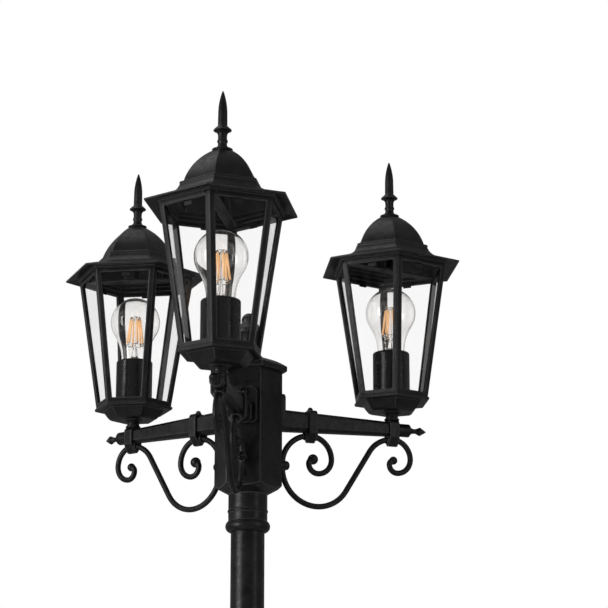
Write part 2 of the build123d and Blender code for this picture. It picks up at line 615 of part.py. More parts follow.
def arm_screws():
    """The flange's screw and the scroll's screw of one arm."""
    inside = hub_inner_r * COS30 - SCREW_IN_HUB
    flange_screw = domed_screw(ARM_SCREW_R, ARM_SCREW_HEAD_R, inside, root_r)
    scroll_screw = domed_screw(ARM_SCREW_R, SCROLL_SCREW_HEAD_R, inside, SCROLL_HUB_R + ROD_R)
    return [Pos(0, 0, ARM_SCREW_UP) * along_x(flange_screw),
            Pos(0, 0, -SCROLL_SCREW_DOWN) * along_x(scroll_screw)]


# ---- scrolls ----
def rod_top(r):
    """Height of the rod's centre line where it passes under the arm at r."""
    return -arm_size(r)[1] / 2 - ROD_GAP - ROD_R


def curl(start, heading, radii, turn):
    """A chain of quarter arcs in the XY sketch plane, each tangent to the one before."""
    arcs = [JernArc(start, heading, radii[0], turn)]
    for radius in radii[1:]:
        arcs.append(JernArc(arcs[-1] @ 1, arcs[-1] % 1, radius, turn))
    return arcs


def scroll_curves():
    """The rod's centre line in three runs: the inner curl, the bowl under the arm and the outer curl."""
    top = (INNER_CLAMP_R, rod_top(INNER_CLAMP_R))
    inner = curl(top, (1, 0), INNER_CURL, -90)
    shoulder = JernArc(top, (-1, 0), SCROLL_SHOULDER_R, 90)
    drop = Line(shoulder @ 1, shoulder @ 1 - Vector(0, SCROLL_DROP))
    end_z = rod_top(ARM_REACH)
    lean = radians(SCROLL_REVERSE_TURN)
    bowl = JernArc(drop @ 1, (0, -1), SCROLL_BOWL_R, 90 + SCROLL_REVERSE_TURN)
    rise = end_z - (bowl @ 1).Y - SCROLL_REVERSE_R * (1 - cos(lean))
    straight = Line(bowl @ 1, bowl @ 1 + Vector(cos(lean), sin(lean)) * (rise / sin(lean)))
    reverse = JernArc(straight @ 1, straight % 1, SCROLL_REVERSE_R, -SCROLL_REVERSE_TURN)
    outer = curl(reverse @ 1, (1, 0), OUTER_CURL, -90)
    return inner, [shoulder, drop, bowl, straight, reverse], outer


def scroll_rod(radius):
    """The bent rod of one bracket, in the arm's frame, swept as two runs that meet at the inner clamp."""
    upright = Plane(origin=(0, 0, 0), x_dir=(1, 0, 0), z_dir=(0, -1, 0))
    inner, middle, outer = scroll_curves()
    start = inner[0] @ 0
    rods = []
    for run in (inner, middle + outer):
        path = Wire([upright * edge for edge in run])
        section = Plane(origin=(start.X, 0, start.Y), x_dir=(0, 1, 0), z_dir=(1, 0, 0)) * Circle(radius)
        rods.append(sweep(section, path=path))
    return rods[0] + rods[1]


def scroll():
    inner, _, outer = scroll_curves()
    piece = scroll_rod(ROD_R)
    for end, ball in ((inner[-1] @ 1, INNER_BALL_R), (outer[-1] @ 1, OUTER_BALL_R)):
        piece += Pos(end.X, 0, end.Y) * Sphere(ball)
    pad_r, rod_face = SCROLL_SCREW_HEAD_R + 0.5, SCROLL_HUB_R + ROD_R
    at_screw = Pos(0, 0, -SCROLL_SCREW_DOWN)
    piece += at_screw * along_x(rod(pad_r, hub_face, rod_face))
    return piece - at_screw * along_x(rod(ARM_SCREW_R + HOLE_FIT, hub_face - 1, rod_face + 1))


def clamp(r, width, knob):
    """A band round the arm and the rod below it."""
    arm_w, arm_h = arm_size(r)
    half = arm_w / 2 + CLAMP_WALL
    top = ARM_END[1] / 2 + CLAMP_WALL if not knob else arm_h / 2 + CLAMP_WALL
    rod_z = rod_top(r)
    low = rod_z - ROD_R - 2 * CLAMP_WALL
    points = [(half, top - 3), (half - 3, top), (-half + 3, top), (-half, top - 3), (-half, rod_z + 2),
              (-3.4, low + 1.5), (-2, low), (2, low), (3.4, low + 1.5), (half, rod_z + 2)]
    face = make_face(Polyline(*points, close=True))
    band = extrude(Plane(origin=(r - width / 2, 0, 0), x_dir=(0, 1, 0), z_dir=(1, 0, 0)) * face, width)
    band = fillet(band.edges().filter_by(Axis.X).sort_by(Axis.Z)[-4:], 1.5)
    band += Pos(0, 0, rod_z) * along_x(rod(ROD_R + CLAMP_WALL - 0.4, r - CLAMP_SLEEVE / 2, r + CLAMP_SLEEVE / 2))
    if knob:
        band += Pos(r, 0, 0) * turned((0, top - 1), (CLAMP_KNOB_R + 0.8, top - 1), (CLAMP_KNOB_R + 0.8, top + 1),
                                      (CLAMP_KNOB_R, top + 1.6), crown(CLAMP_KNOB_R, top + 1.6, CLAMP_KNOB_R))
    else:
        band -= Pos(r, 0, 0) * rod(NIPPLE_R + FIT, 0, top + 1)
    band -= arm_body(r - CLAMP_SLEEVE, min(r + CLAMP_SLEEVE, arm_end_r), CLAMP_FIT)
    return band - along_x(rod(ARM_TIP_R + CLAMP_FIT, arm_end_r - 1, arm_end_r + CLAMP_SLEEVE))


def scroll_clamps():
    groove = scroll_rod(ROD_R + CLAMP_FIT)
    return [clamp(INNER_CLAMP_R, INNER_CLAMP_W, True) - groove,
            clamp(ARM_REACH, OUTER_CLAMP_W, False) - groove]


# ---- lanterns: made about their own axis, with the floor's underside at z = 0 ----
def in_lantern(side, shapes):
    """Place pieces made in a lantern's own frame."""
    place = Rot(0, 0, ARMS[side]) * Pos(ARM_REACH, 0, arm_z + lantern_on_arm) * Rot(0, 0, LANTERN_TURN[side])
    return [place * shape for shape in shapes] if isinstance(shapes, list) else place * shapes


def lantern_floor():
    floor = hex_turned((0, 0), (FLOOR_FOOT_R, 0), (FLOOR_FOOT_R + 3, 1.5),
                       ((FLOOR_FOOT_R + 6.4, 5.5), (FLOOR_BOWL_R - 2, FLOOR_BOWL_H - 2.5)),
                       (FLOOR_BOWL_R, FLOOR_BOWL_H), (FLOOR_RIM_R - 1, FLOOR_BOWL_H),
                       (FLOOR_RIM_R, FLOOR_BOWL_H + 1), (FLOOR_RIM_R, floor_top - 1),
                       (FLOOR_RIM_R - 1, floor_top), (0, floor_top))
    bead_r, bead_h = NECK_BEAD
    floor += turned((0, -NECK_H), (NECK_R, -NECK_H), ((bead_r, -NECK_H + bead_h / 2), (NECK_R, -NECK_H + bead_h)),
                    (NECK_R, -NECK_H / 2), ((NECK_R + 1.2, -2.4), (NECK_TOP_R - 0.8, -1)),
                    (NECK_TOP_R, -0.5), (NECK_TOP_R, 1), (0, 1))
    floor -= hex_prism(RECESS_R, recess_z, floor_top + 1)
    return floor - rod(NIPPLE_R + FIT, -NECK_H - 1, recess_z + 1)


def cage_r(z):
    """Corner radius of the cage's outside at a height."""
    return CAGE_FOOT_R + (CAGE_HEAD_R - CAGE_FOOT_R) * (z - floor_top) / CAGE_H


def cage_frustum(inset, low=floor_top, high=cage_top):
    """The cage's tapered form, its faces moved in by an inset."""
    step = inset / COS30
    return hex_frustum(cage_r(low) - step, low, cage_r(high) - step, high)


def face_block(low, high, margin, width=None):
    """A block through one face of the cage, with edges a margin inside its corner lines."""
    half_low = width / 2 if width else cage_r(low) / 2 - margin
    half_high = width / 2 if width else cage_r(high) / 2 - margin
    face = make_face(Polyline((-half_low, low), (half_low, low), (half_high, high), (-half_high, high), close=True))
    reach = 2 * CAGE_HEAD_R
    block = extrude(Plane(origin=(0, 0, 0), x_dir=(0, 1, 0), z_dir=(1, 0, 0)) * face, reach)
    return Rot(0, 0, 30) * block


def lantern_cage():
    cage = cage_frustum(0) - cage_frustum(CAGE_WALL, floor_top - 1, cage_top + 1)
    window = face_block(floor_top + BOTTOM_RAIL, cage_top - TOP_RAIL, POST_LEAF)
    cage -= ring_of(window, 6)
    return cage - Pos(0, 0, bar_z) * Box(3 * CAGE_HEAD_R, BAR[0] + 2 * FIT, 3 * BAR[1],
                                         align=(Align.CENTER, Align.CENTER, Align.MIN))


def glass_panes():
    """Six panes that stand on the floor's rim, behind the posts."""
    outer = CAGE_WALL + PANE_FIT
    low, high = floor_top + PANE_FIT, bar_z - PANE_FIT
    sheet = cage_frustum(outer, low, high) - cage_frustum(outer + PANE, low - 1, high + 1)
    pane = sheet & face_block(low, high, PANE_MARGIN)
    return ring_of(pane, 6)


def pane_clips():
    """A bent strip at each top rail that keeps its pane in."""
    pane_top = bar_z - PANE_FIT
    inner = CAGE_WALL + PANE_FIT + PANE + PANE_FIT
    tongue = cage_frustum(inner, pane_top - CLIP_DROP, pane_top + CLIP_SHEET + FIT)
    tongue -= cage_frustum(inner + CLIP_SHEET, pane_top - CLIP_DROP - 1, pane_top + CLIP_SHEET + 1)
    hook = cage_frustum(CAGE_WALL, pane_top + FIT, pane_top + FIT + CLIP_SHEET)
    hook -= cage_frustum(inner + CLIP_SHEET, pane_top - 1, pane_top + 3)
    clip = (tongue + hook) & face_block(pane_top - CLIP_DROP - 1, pane_top + 3, 0, CLIP_WIDTH)
    return ring_of(clip, 6)


def crossbar():
    bar = Pos(0, 0, bar_z) * Box(3 * CAGE_HEAD_R, BAR[0], BAR[1], align=(Align.CENTER, Align.CENTER, Align.MIN))
    bar = bar & cage_frustum(BAR_INSET)
    return bar + turned((0, bar_z), (STUD_R, bar_z), (STUD_R, bar_z + STUD_H - 1), (STUD_R - 1, bar_z + STUD_H),
                        (0, bar_z + STUD_H))


def roof():
    lip_z = eave_z + EAVE_LIP
    brim_slope = BRIM_RISE / (EAVE_R - BRIM_R)
    shoulder_r, shoulder_z = DOME_SHOULDER[0] * DOME_FOOT_R, dome_z + DOME_SHOULDER[1] * DOME_RISE
    outside = hex_turned((0, eave_z), (EAVE_R, eave_z), (EAVE_R, lip_z), (BRIM_R, brim_top_z),
                         ((FLARE_TOP_R + 3.6, brim_top_z + 0.48 * FLARE_RISE), (FLARE_TOP_R, flare_top_z)),
                         ((FLARE_TOP_R + 0.3, flare_top_z + 2), (FLARE_TOP_R - 2, dome_z)),
                         (DOME_FOOT_R, dome_z),
                         ((shoulder_r, shoulder_z), (DOME_TOP_R, roof_top_z)),
                         (0, roof_top_z))
    seat_out = CAGE_HEAD_R + 1.5
    seat_in = seat_out - SEAT_WIDTH
    wall = ROOF_WALL / COS30
    seat_top = lip_z + (EAVE_R - seat_in) * brim_slope - BRIM_SHEET
    inside = hex_turned((0, eave_z - 1), (seat_in, eave_z - 1), (seat_in, seat_top),
                        (BRIM_R - wall - 2, brim_top_z - BRIM_SHEET),
                        (FLARE_TOP_R - wall, flare_top_z - 2),
                        (DOME_FOOT_R - wall, dome_z),
                        ((shoulder_r - wall, shoulder_z - 0.4 * ROOF_WALL),
                         (DOME_TOP_R, roof_top_z - 1.6 * ROOF_WALL)),
                        (0, roof_top_z - 1.6 * ROOF_WALL))
    soffit_rise = (EAVE_R - 2 - seat_out) * brim_slope
    soffit = hex_turned((0, eave_z - 1), (EAVE_R - 2, eave_z - 1), (EAVE_R - 2, eave_z),
                        (seat_out, eave_z + 0.75 * soffit_rise), (0, eave_z + 0.75 * soffit_rise))
    soffit -= hex_prism(seat_out, eave_z - 2, brim_top_z)
    return outside - inside - soffit - rod(STUD_R + HOLE_FIT, dome_z, roof_top_z + 1)


def finial_washer():
    low = washer_z
    return rod(WASHER[0], low, low + WASHER[1]) - rod(STUD_R + HOLE_FIT, low - 1, low + 3)


def finial():
    z = finial_z
    neck = z + 6
    collar = z + FINIAL_NECK_H
    spindle = collar + FINIAL_COLLAR_H
    taper = spindle + FINIAL_SPINDLE_H
    point = taper + FINIAL_POINT_H
    nr, br = FINIAL_NECK_R, FINIAL_BEAD_R
    body = turned((0, z), (FINIAL_BASE_R - 0.5, z), (FINIAL_BASE_R, z + 0.7),
                  ((nr + 2.6, z + 2.2), (nr, neck)),
                  (nr, neck + 2), ((br, neck + 4), (nr, neck + 6)), (nr, collar - 1.5),
                  ((nr + 1, collar + 1.5), (FINIAL_COLLAR_R, collar + 4.3)), (FINIAL_COLLAR_R, collar + 5),
                  (FINIAL_SPINDLE_R + 0.2, spindle), (FINIAL_SPINDLE_R, taper),
                  ((0.68 * FINIAL_SPINDLE_R, taper + 0.58 * FINIAL_POINT_H), (0.7, point)), (0, point))
    stud_top = bar_z + STUD_H
    return body - rod(STUD_R + THREAD_FIT, z - 1, stud_top + 1)


def lampholder():
    bore_r = CAP_R + CAP_FIT
    mouth_r, mouth_z = BULB_SHOULDER[0] + 1.3, holder_top - HOLDER_MOUTH_H
    bottom, chamber = recess_z, recess_z + HOLDER_FOOT
    top_round = HOLDER_ROUND * (1 - sin(pi / 4))
    return turned((NIPPLE_R + FIT, bottom), (HOLDER_R, bottom), (HOLDER_R, holder_top - HOLDER_ROUND),
                  ((HOLDER_R - top_round, holder_top - top_round), (HOLDER_R - HOLDER_ROUND, holder_top)),
                  (mouth_r, holder_top), (mouth_r, mouth_z), (bore_r, mouth_z),
                  (bore_r, web_z + HOLDER_WEB), (0, web_z + HOLDER_WEB), (0, web_z),
                  (HOLDER_CHAMBER_R, web_z), (HOLDER_CHAMBER_R, chamber), (NIPPLE_R + FIT, chamber))


def nipple():
    low = -NECK_H - CLAMP_WALL - NIPPLE_IN_ARM
    high = recess_z + NIPPLE_IN_HOLDER
    return rod(NIPPLE_R, low, high) - rod(NIPPLE_R - NIPPLE_WALL, low - 1, high + 1)


# ---- bulb ----
def bulb_cap():
    """The screw cap: rounded thread rings over an insulating tip."""
    thread_z = cap_z + CAP_TIP_H
    root = CAP_R - 0.9
    path = [(0, cap_z), (4.5, cap_z), (5, cap_z + 1.5), (root, thread_z)]
    for i in range(CAP_TURNS):
        low = thread_z + i * CAP_PITCH
        path.append(((CAP_R, low + CAP_PITCH / 2), (root, low + CAP_PITCH)))
    rim_r = BULB_NECK_R - BULB_WALL / 2
    cap = turned(*path, (rim_r, cap_top - CAP_RIM_H), (rim_r, cap_top), (0, cap_top))
    return cap - rod(root - CAP_SHEET, thread_z, cap_top + 1)


def bulb_glass():
    z = cap_top + MOVING_GAP
    centre = z + BULB_H - BULB_R
    join = radians(-26)
    def skin(inset):
        ball, neck = BULB_R - inset, BULB_NECK_R - inset
        meet = (ball * cos(join), centre + ball * sin(join))
        shoulder = (BULB_SHOULDER[0] - inset, z + BULB_SHOULDER[1])
        middle = ((shoulder[0] + meet[0]) / 2 - 0.6, (shoulder[1] + meet[1]) / 2 + 0.6)
        return turned((0, z - inset), (neck, z - inset), shoulder, (middle, meet),
                      ((ball, centre), (ball * cos(pi / 4), centre + ball * sin(pi / 4))),
                      ((ball * cos(1.2), centre + ball * sin(1.2)), (0, centre + ball)))
    return skin(0) - skin(BULB_WALL)


def bulb_filament():
    """Glass stem, two carrier rings and the upright filaments."""
    z = cap_top
    low, high = z + FILAMENT_FOOT, z + FILAMENT_FOOT + FILAMENT_LENGTH
    r_low, r_high = FILAMENT_RINGS
    foot_r = BULB_NECK_R - BULB_WALL - MOVING_GAP
    core = turned((0, z), (foot_r, z), (foot_r, z + STEM_FOOT), (STEM_R, z + STEM_FOOT), (STEM_R, z + 4),
                  (2.6, z + STEM_H), (1.6, z + STEM_H + 3), (1.6, high), (0, high + 1))
    core += rod(r_low + 0.6, low - 1, low) + rod(r_high + 0.6, high - 1, high)
    lean = degrees(atan2(r_low - r_high, FILAMENT_LENGTH))
    strip = Pos(r_low, 0, low - 0.5) * Rot(0, -lean, 0) * rod(FILAMENT_R, 0, FILAMENT_LENGTH)
    for filament in ring_of(strip, FILAMENTS):
        core += filament
    return core


# ---- leads ----
def lamp_lead(side):
    """A two-core lead from the terminal block, through the arm and up into the lampholder."""
    block_face = hub_inner_r * COS30 - BLOCK[1]
    end_z = arm_z + lantern_on_arm + web_z
    angle = radians(ARMS[side])
    end = Vector(ARM_REACH * cos(angle), ARM_REACH * sin(angle), arm_z)
    x = {"front": 0.0, "right": LEAD_SPACING, "left": -LEAD_SPACING}[side]
    points = [Vector(x, block_face, arm_z)]
    if x:
        points.append(Vector(x, x * sin(angle) / cos(angle), arm_z))
    points += [end, Vector(end.X, end.Y, end_z)]
    path = FilletPolyline(*points, radius=LEAD_BEND)
    start = Plane(origin=points[0], z_dir=(0, -1, 0))
    return sweep(start * Circle(LEAD_R), path=path)


# ---- assembly ----
parts = {
    "base_casting": base_casting(), "base_capital": base_capital(), "lower_column": lower_column(),
    "lower_coupling": lower_coupling(), "middle_tube": middle_tube(), "upper_coupling": upper_coupling(),
    "upper_tube": upper_tube(), "pole_set_screws": pole_screws(),
    "hub_casting": hub_casting(), "hub_cap": hub_cap(), "hub_finial": hub_finial(),
    "terminal_block": terminal_block(),
    "arm_screws": [], "lamp_leads": [], "lantern_nipples": [],
}
arm_pieces = {"arm": arm(), "scroll": scroll(), "scroll_clamps": scroll_clamps()}
lantern_pieces = {
    "lantern_floor": lantern_floor(), "lantern_cage": lantern_cage(), "glass_panes": glass_panes(),
    "pane_clips": pane_clips(), "crossbar": crossbar(), "lantern_roof": roof(), "finial": finial(),
    "finial_washer": finial_washer(), "lampholder": lampholder(), "bulb_glass": bulb_glass(),
    "bulb_cap": bulb_cap(), "bulb_filament": bulb_filament(),
}
for side, angle in ARMS.items():
    parts["arm_screws"] += on_arm(angle, arm_screws())
    parts["lamp_leads"].append(lamp_lead(side))
    parts["lantern_nipples"].append(in_lantern(side, nipple()))
    for name, shape in arm_pieces.items():
        parts[f"{name}_{side}"] = on_arm(angle, shape)
    for name, shape in lantern_pieces.items():
        parts[f"{name}_{side}"] = in_lantern(side, shape)

os.makedirs("parts", exist_ok=True)
for name, shape in parts.items():
    solids = [solid for piece in (shape if isinstance(shape, list) else [shape]) for solid in piece.solids()]
    export_step(Compound(solids) if len(solids) > 1 else solids[0], f"parts/{name}.step")
    print(f"{name}: {len(solids)} solid(s), {sum(solid.volume for solid in solids) / 1000:.2f} cm3")
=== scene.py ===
# %% [markdown]
# # Triple head lamp post
# A black cast aluminium garden lamp post: a fluted base, a jointed round pole, a hexagonal
# hub and three glazed lanterns on arms braced by scrolls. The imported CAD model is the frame:
# it gives every casting its place and shape. Blender adds what the eye reads as real: the
# powder coat, float glass, screws with a drive in their heads, and three clear lamps.
#
# Lengths are metres, +Z is up, and the front arm points along -Y.

# %% Load the frame
import math
import bpy
import bmesh
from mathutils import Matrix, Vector


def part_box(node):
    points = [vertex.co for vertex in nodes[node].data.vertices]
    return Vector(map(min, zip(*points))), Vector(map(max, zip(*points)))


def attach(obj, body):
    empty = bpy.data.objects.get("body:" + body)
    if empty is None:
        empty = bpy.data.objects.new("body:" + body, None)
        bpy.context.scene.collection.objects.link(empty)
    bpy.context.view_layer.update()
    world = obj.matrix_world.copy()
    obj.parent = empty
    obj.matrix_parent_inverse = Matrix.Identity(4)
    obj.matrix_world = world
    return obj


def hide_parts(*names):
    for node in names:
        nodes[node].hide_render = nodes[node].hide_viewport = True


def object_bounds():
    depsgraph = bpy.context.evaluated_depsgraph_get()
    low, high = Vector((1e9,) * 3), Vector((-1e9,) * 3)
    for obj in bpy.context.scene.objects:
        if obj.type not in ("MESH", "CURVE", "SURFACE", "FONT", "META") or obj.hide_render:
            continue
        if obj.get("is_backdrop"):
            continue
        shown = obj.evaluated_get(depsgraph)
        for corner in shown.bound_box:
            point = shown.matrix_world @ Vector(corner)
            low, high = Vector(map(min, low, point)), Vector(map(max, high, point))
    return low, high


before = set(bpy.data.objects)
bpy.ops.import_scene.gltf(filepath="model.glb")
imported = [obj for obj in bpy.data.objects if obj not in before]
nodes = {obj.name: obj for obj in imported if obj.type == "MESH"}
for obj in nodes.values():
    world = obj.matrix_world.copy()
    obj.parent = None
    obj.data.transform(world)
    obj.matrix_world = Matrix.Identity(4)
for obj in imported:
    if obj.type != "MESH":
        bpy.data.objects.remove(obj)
cad_low, cad_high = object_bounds()
SIDES = ("front", "right", "left")
MM = 0.001

# %% [markdown]
# ## Helpers that every finish shares
# Paint makers and picture editors give a colour as a hex code in sRGB, while the renderer
# works in linear light, so one function turns the one into the other. A second function adds
# a node to a tree: properties go in as keywords, and an input takes a value or the socket it
# is linked from. A third starts a material, and the last turns a real size into the scale of
# a pattern.

# %% Colour and node helpers
def linear(hex_colour):
    """An sRGB hex colour as linear RGBA."""
    channels = [int(hex_colour[i:i + 2], 16) / 255 for i in (1, 3, 5)]
    light = [c / 12.92 if c <= 0.04045 else ((c + 0.055) / 1.055) ** 2.4 for c in channels]
    return (*light, 1.0)


def add(tree, kind, inputs=None, **settings):
    """A new node with its settings; an input is a value, or the socket that feeds it."""
    made = tree.nodes.new(kind)
    for name, value in settings.items():
        setattr(made, name, value)
    for key, value in (inputs or {}).items():
        if isinstance(value, bpy.types.NodeSocket):
            tree.links.new(value, made.inputs[key])
        else:
            made.inputs[key].default_value = value
    return made


def finish(name, **sockets):
    """A material with one Principled shader whose sockets have these values."""
    material = bpy.data.materials.new(name)
    material.use_nodes = True
    shader = material.node_tree.nodes["Principled BSDF"]
    for key, value in sockets.items():
        shader.inputs[key.replace("_", " ")].default_value = value
    return material, material.node_tree, shader


def per_metre(millimetres):
    """The scale of a pattern on Object coordinates whose features have this size."""
    return 1 / (millimetres * MM)


# %% [markdown]
# ## Powder coat on cast aluminium
# The castings come out of sand or a coarse die with a faintly mottled skin, then get a satin
# black powder coat about 0.08 mm thick. Powder flows as it is baked, so it rounds every edge
# a little, and it leaves a fine ripple called orange peel. The eye sees near-black faces with
# soft grey sheen, a slightly uneven gloss, and light along the edges.
# - The colour drifts between two near-blacks in patches as wide as a finger.
# - Roughness drifts with a finer pattern, which breaks up the highlights.
# - A Bevel node rounds the shading of the edges, because the CAD meshes stay as they are.
#   Where its normal leaves the surface's own, a lighter grey is mixed in: a painted highlight on
#   the edges.
# - Two Bump nodes give the casting's mottle and the ripple, which is really finer than
#   this: it is drawn at 1.6 mm so that it shows in a render of the whole head.

# %% Castings
PATCH, CAST_SKIN, ORANGE_PEEL = (20.0, 5.0), (5.5, 4.0), (1.6, 2.0)    # size in mm, detail
PATCH_LOW, PATCH_HIGH = 0.36, 0.64       # the stretch of the noise from all dark to all light
GRAIN_LOW, GRAIN_HIGH = 0.3, 0.7         # and the stretch that a gloss follows
GLOSSIER, DULLER = 0.09, 0.12            # how far the roughness goes down and up
SKIN_STRENGTH, SKIN_DEPTH_MM = 0.35, 0.5
PEEL_STRENGTH, PEEL_DEPTH_MM = 0.25, 0.15
COAT_INDEX, COAT_SPECULAR = 1.5, 0.4
COAT_EDGE_MM, EDGE_SAMPLES = 2.6, 6
# Where the painted edge highlight starts and where it is full:
HIGHLIGHT_STARTS, HIGHLIGHT_FULL = 0.985, 0.86       # cosine between the rounded normal and the real one


def powder_coat(name, dark, light, edge_highlight, roughness):
    """A satin coat whose tone, gloss and relief drift, with a painted highlight on its edges."""
    material, tree, shader = finish(name, IOR=COAT_INDEX, Specular_IOR_Level=COAT_SPECULAR)
    place = add(tree, "ShaderNodeTexCoord").outputs["Object"]
    patch, skin, peel = (
        add(tree, "ShaderNodeTexNoise", {
            "Vector": place, "Scale": per_metre(size_mm), "Detail": detail}).outputs["Fac"]
        for size_mm, detail in (PATCH, CAST_SKIN, ORANGE_PEEL))
    spread = add(tree, "ShaderNodeMapRange", {
        "Value": patch, "From Min": PATCH_LOW, "From Max": PATCH_HIGH})
    tone = add(tree, "ShaderNodeMix", {
        "Factor": spread.outputs["Result"], "A": linear(dark), "B": linear(light)},
        data_type="RGBA")
    gloss = add(tree, "ShaderNodeMapRange", {
        "Value": skin, "From Min": GRAIN_LOW, "From Max": GRAIN_HIGH,
        "To Min": roughness - GLOSSIER, "To Max": roughness + DULLER})
    edge = add(tree, "ShaderNodeBevel", {"Radius": COAT_EDGE_MM * MM}, samples=EDGE_SAMPLES)
    own = add(tree, "ShaderNodeNewGeometry")
    along = add(tree, "ShaderNodeVectorMath", {
        0: edge.outputs["Normal"], 1: own.outputs["Normal"]}, operation="DOT_PRODUCT")
    # The lighter grey mixed in at the edges is a painted highlight.
    highlight_mask = add(tree, "ShaderNodeMapRange", {
        "Value": along.outputs["Value"], "From Min": HIGHLIGHT_STARTS, "From Max": HIGHLIGHT_FULL})
    with_highlight = add(tree, "ShaderNodeMix", {
        "Factor": highlight_mask.outputs["Result"], "A": tone.outputs["Result"], "B": linear(edge_highlight)},
        data_type="RGBA")
    mottle = add(tree, "ShaderNodeBump", {
        "Height": skin, "Normal": edge.outputs["Normal"],
        "Strength": SKIN_STRENGTH, "Distance": SKIN_DEPTH_MM * MM})
    ripple = add(tree, "ShaderNodeBump", {
        "Height": peel, "Normal": mottle.outputs["Normal"],
        "Strength": PEEL_STRENGTH, "Distance": PEEL_DEPTH_MM * MM})
    tree.links.new(with_highlight.outputs["Result"], shader.inputs["Base Color"])
    tree.links.new(gloss.outputs["Result"], shader.inputs["Roughness"])
    tree.links.new(ripple.outputs["Normal"], shader.inputs["Normal"])
    return material


# The third colour is the painted highlight on the edges.
cast_coat = powder_coat("powder_coated_cast_aluminium", "#060607", "#242425", "#6a6a6b", 0.35)
tube_coat = powder_coat("powder_coated_drawn_tube", "#080809", "#222223", "#4c4c4d", 0.34)
print("powder coats:", cast_coat.name, tube_coat.name)

# %% [markdown]
# ## Float glass
# The panes are 2 mm float glass, flat and clear. A flat sheet does not bend what is seen
# through it, so it needs no refraction: it lets everything through, and at each outer face
# it mirrors a share of the light, little when seen square on and a lot at a glance. That
# share is drawn for an index of 1.33 and not 1.52, because this studio is darker in mirrors
# than it is to the eye, and a full mirror would grey the panes.
#
# The lamps' glass is curved and thick at the neck, so there the refraction is real. Light is
# not followed through such glass to a lamp in this engine, so for shadow rays the glass is
# simply clear. Its tint is almost white, because light takes it on again at each face that
# it crosses.

# %% Clear glass
PANE_INDEX, PANE_ROUGHNESS, LAMP_GLASS_INDEX = 1.33, 0.02, 1.5


def sheet_glass(name, tint):
    """Flat panes: plain transparency under a mirror that is weak when seen square on."""
    material, tree, shader = finish(name)
    tree.nodes.remove(shader)
    mirror = add(tree, "ShaderNodeBsdfGlossy", {
        "Color": linear("#ffffff"), "Roughness": PANE_ROUGHNESS})
    clear = add(tree, "ShaderNodeBsdfTransparent", {"Color": linear(tint)})
    law = add(tree, "ShaderNodeFresnel", {"IOR": PANE_INDEX})
    inner_face = add(tree, "ShaderNodeNewGeometry").outputs["Backfacing"]
    outer_face = add(tree, "ShaderNodeMath", {0: 1.0, 1: inner_face}, operation="SUBTRACT")
    share = add(tree, "ShaderNodeMath", {
        0: law.outputs[0], 1: outer_face.outputs[0]}, operation="MULTIPLY")
    both = add(tree, "ShaderNodeMixShader", {
        0: share.outputs[0], 1: clear.outputs[0], 2: mirror.outputs[0]})
    tree.links.new(both.outputs[0], tree.nodes["Material Output"].inputs["Surface"])
    return material


def blown_glass(name, tint):
    """Curved glass that refracts, and lets lamps light what it holds."""
    material, tree, shader = finish(name, Base_Color=linear(tint), Roughness=0.0,
                                    IOR=LAMP_GLASS_INDEX, Transmission_Weight=1.0)
    shadow = add(tree, "ShaderNodeLightPath").outputs["Is Shadow Ray"]
    clear = add(tree, "ShaderNodeBsdfTransparent", {"Color": linear(tint)})
    both = add(tree, "ShaderNodeMixShader", {
        0: shadow, 1: shader.outputs[0], 2: clear.outputs[0]})
    tree.links.new(both.outputs[0], tree.nodes["Material Output"].inputs["Surface"])
    return material


pane_glass = sheet_glass("float_glass_pane", "#fefefe")
lamp_glass = blown_glass("blown_soda_lime_glass", "#fefdfc")
print("glasses:", pane_glass.name, lamp_glass.name)

# %% [markdown]
# ## The small parts' finishes
# - The lampholders are phenolic mouldings: smooth satin black with a faint flow pattern.
# - Screws are steel, blackened in a hot salt bath, so they shine darker than chrome.
# - The pane clips are steel strip in matt black paint.
# - Threaded nipples are zinc plated, with the cloudy spangle of the plating bath.
# - The lamps' caps are nickel-plated brass, closed by black glass and a dot of solder.
# - Nylon and rubber each get their own roughness and grain.

# %% Small finishes
GRAIN_DETAIL, GRAIN_RELIEF = 3.0, 0.3


def grained(name, dark, light, grain_mm, roughness, drift, depth_mm, **sockets):
    """A finish whose colour and roughness drift with one noise, which also lifts the surface."""
    material, tree, shader = finish(name, **sockets)
    place = add(tree, "ShaderNodeTexCoord").outputs["Object"]
    grain = add(tree, "ShaderNodeTexNoise", {
        "Vector": place, "Scale": per_metre(grain_mm), "Detail": GRAIN_DETAIL}).outputs["Fac"]
    tone = add(tree, "ShaderNodeMix", {
        "Factor": grain, "A": linear(dark), "B": linear(light)}, data_type="RGBA")
    gloss = add(tree, "ShaderNodeMapRange", {
        "Value": grain, "From Min": GRAIN_LOW, "From Max": GRAIN_HIGH,
        "To Min": roughness - drift, "To Max": roughness + drift})
    relief = add(tree, "ShaderNodeBump", {
        "Height": grain, "Strength": GRAIN_RELIEF, "Distance": depth_mm * MM})
    tree.links.new(tone.outputs["Result"], shader.inputs["Base Color"])
    tree.links.new(gloss.outputs["Result"], shader.inputs["Roughness"])
    tree.links.new(relief.outputs["Normal"], shader.inputs["Normal"])
    return material


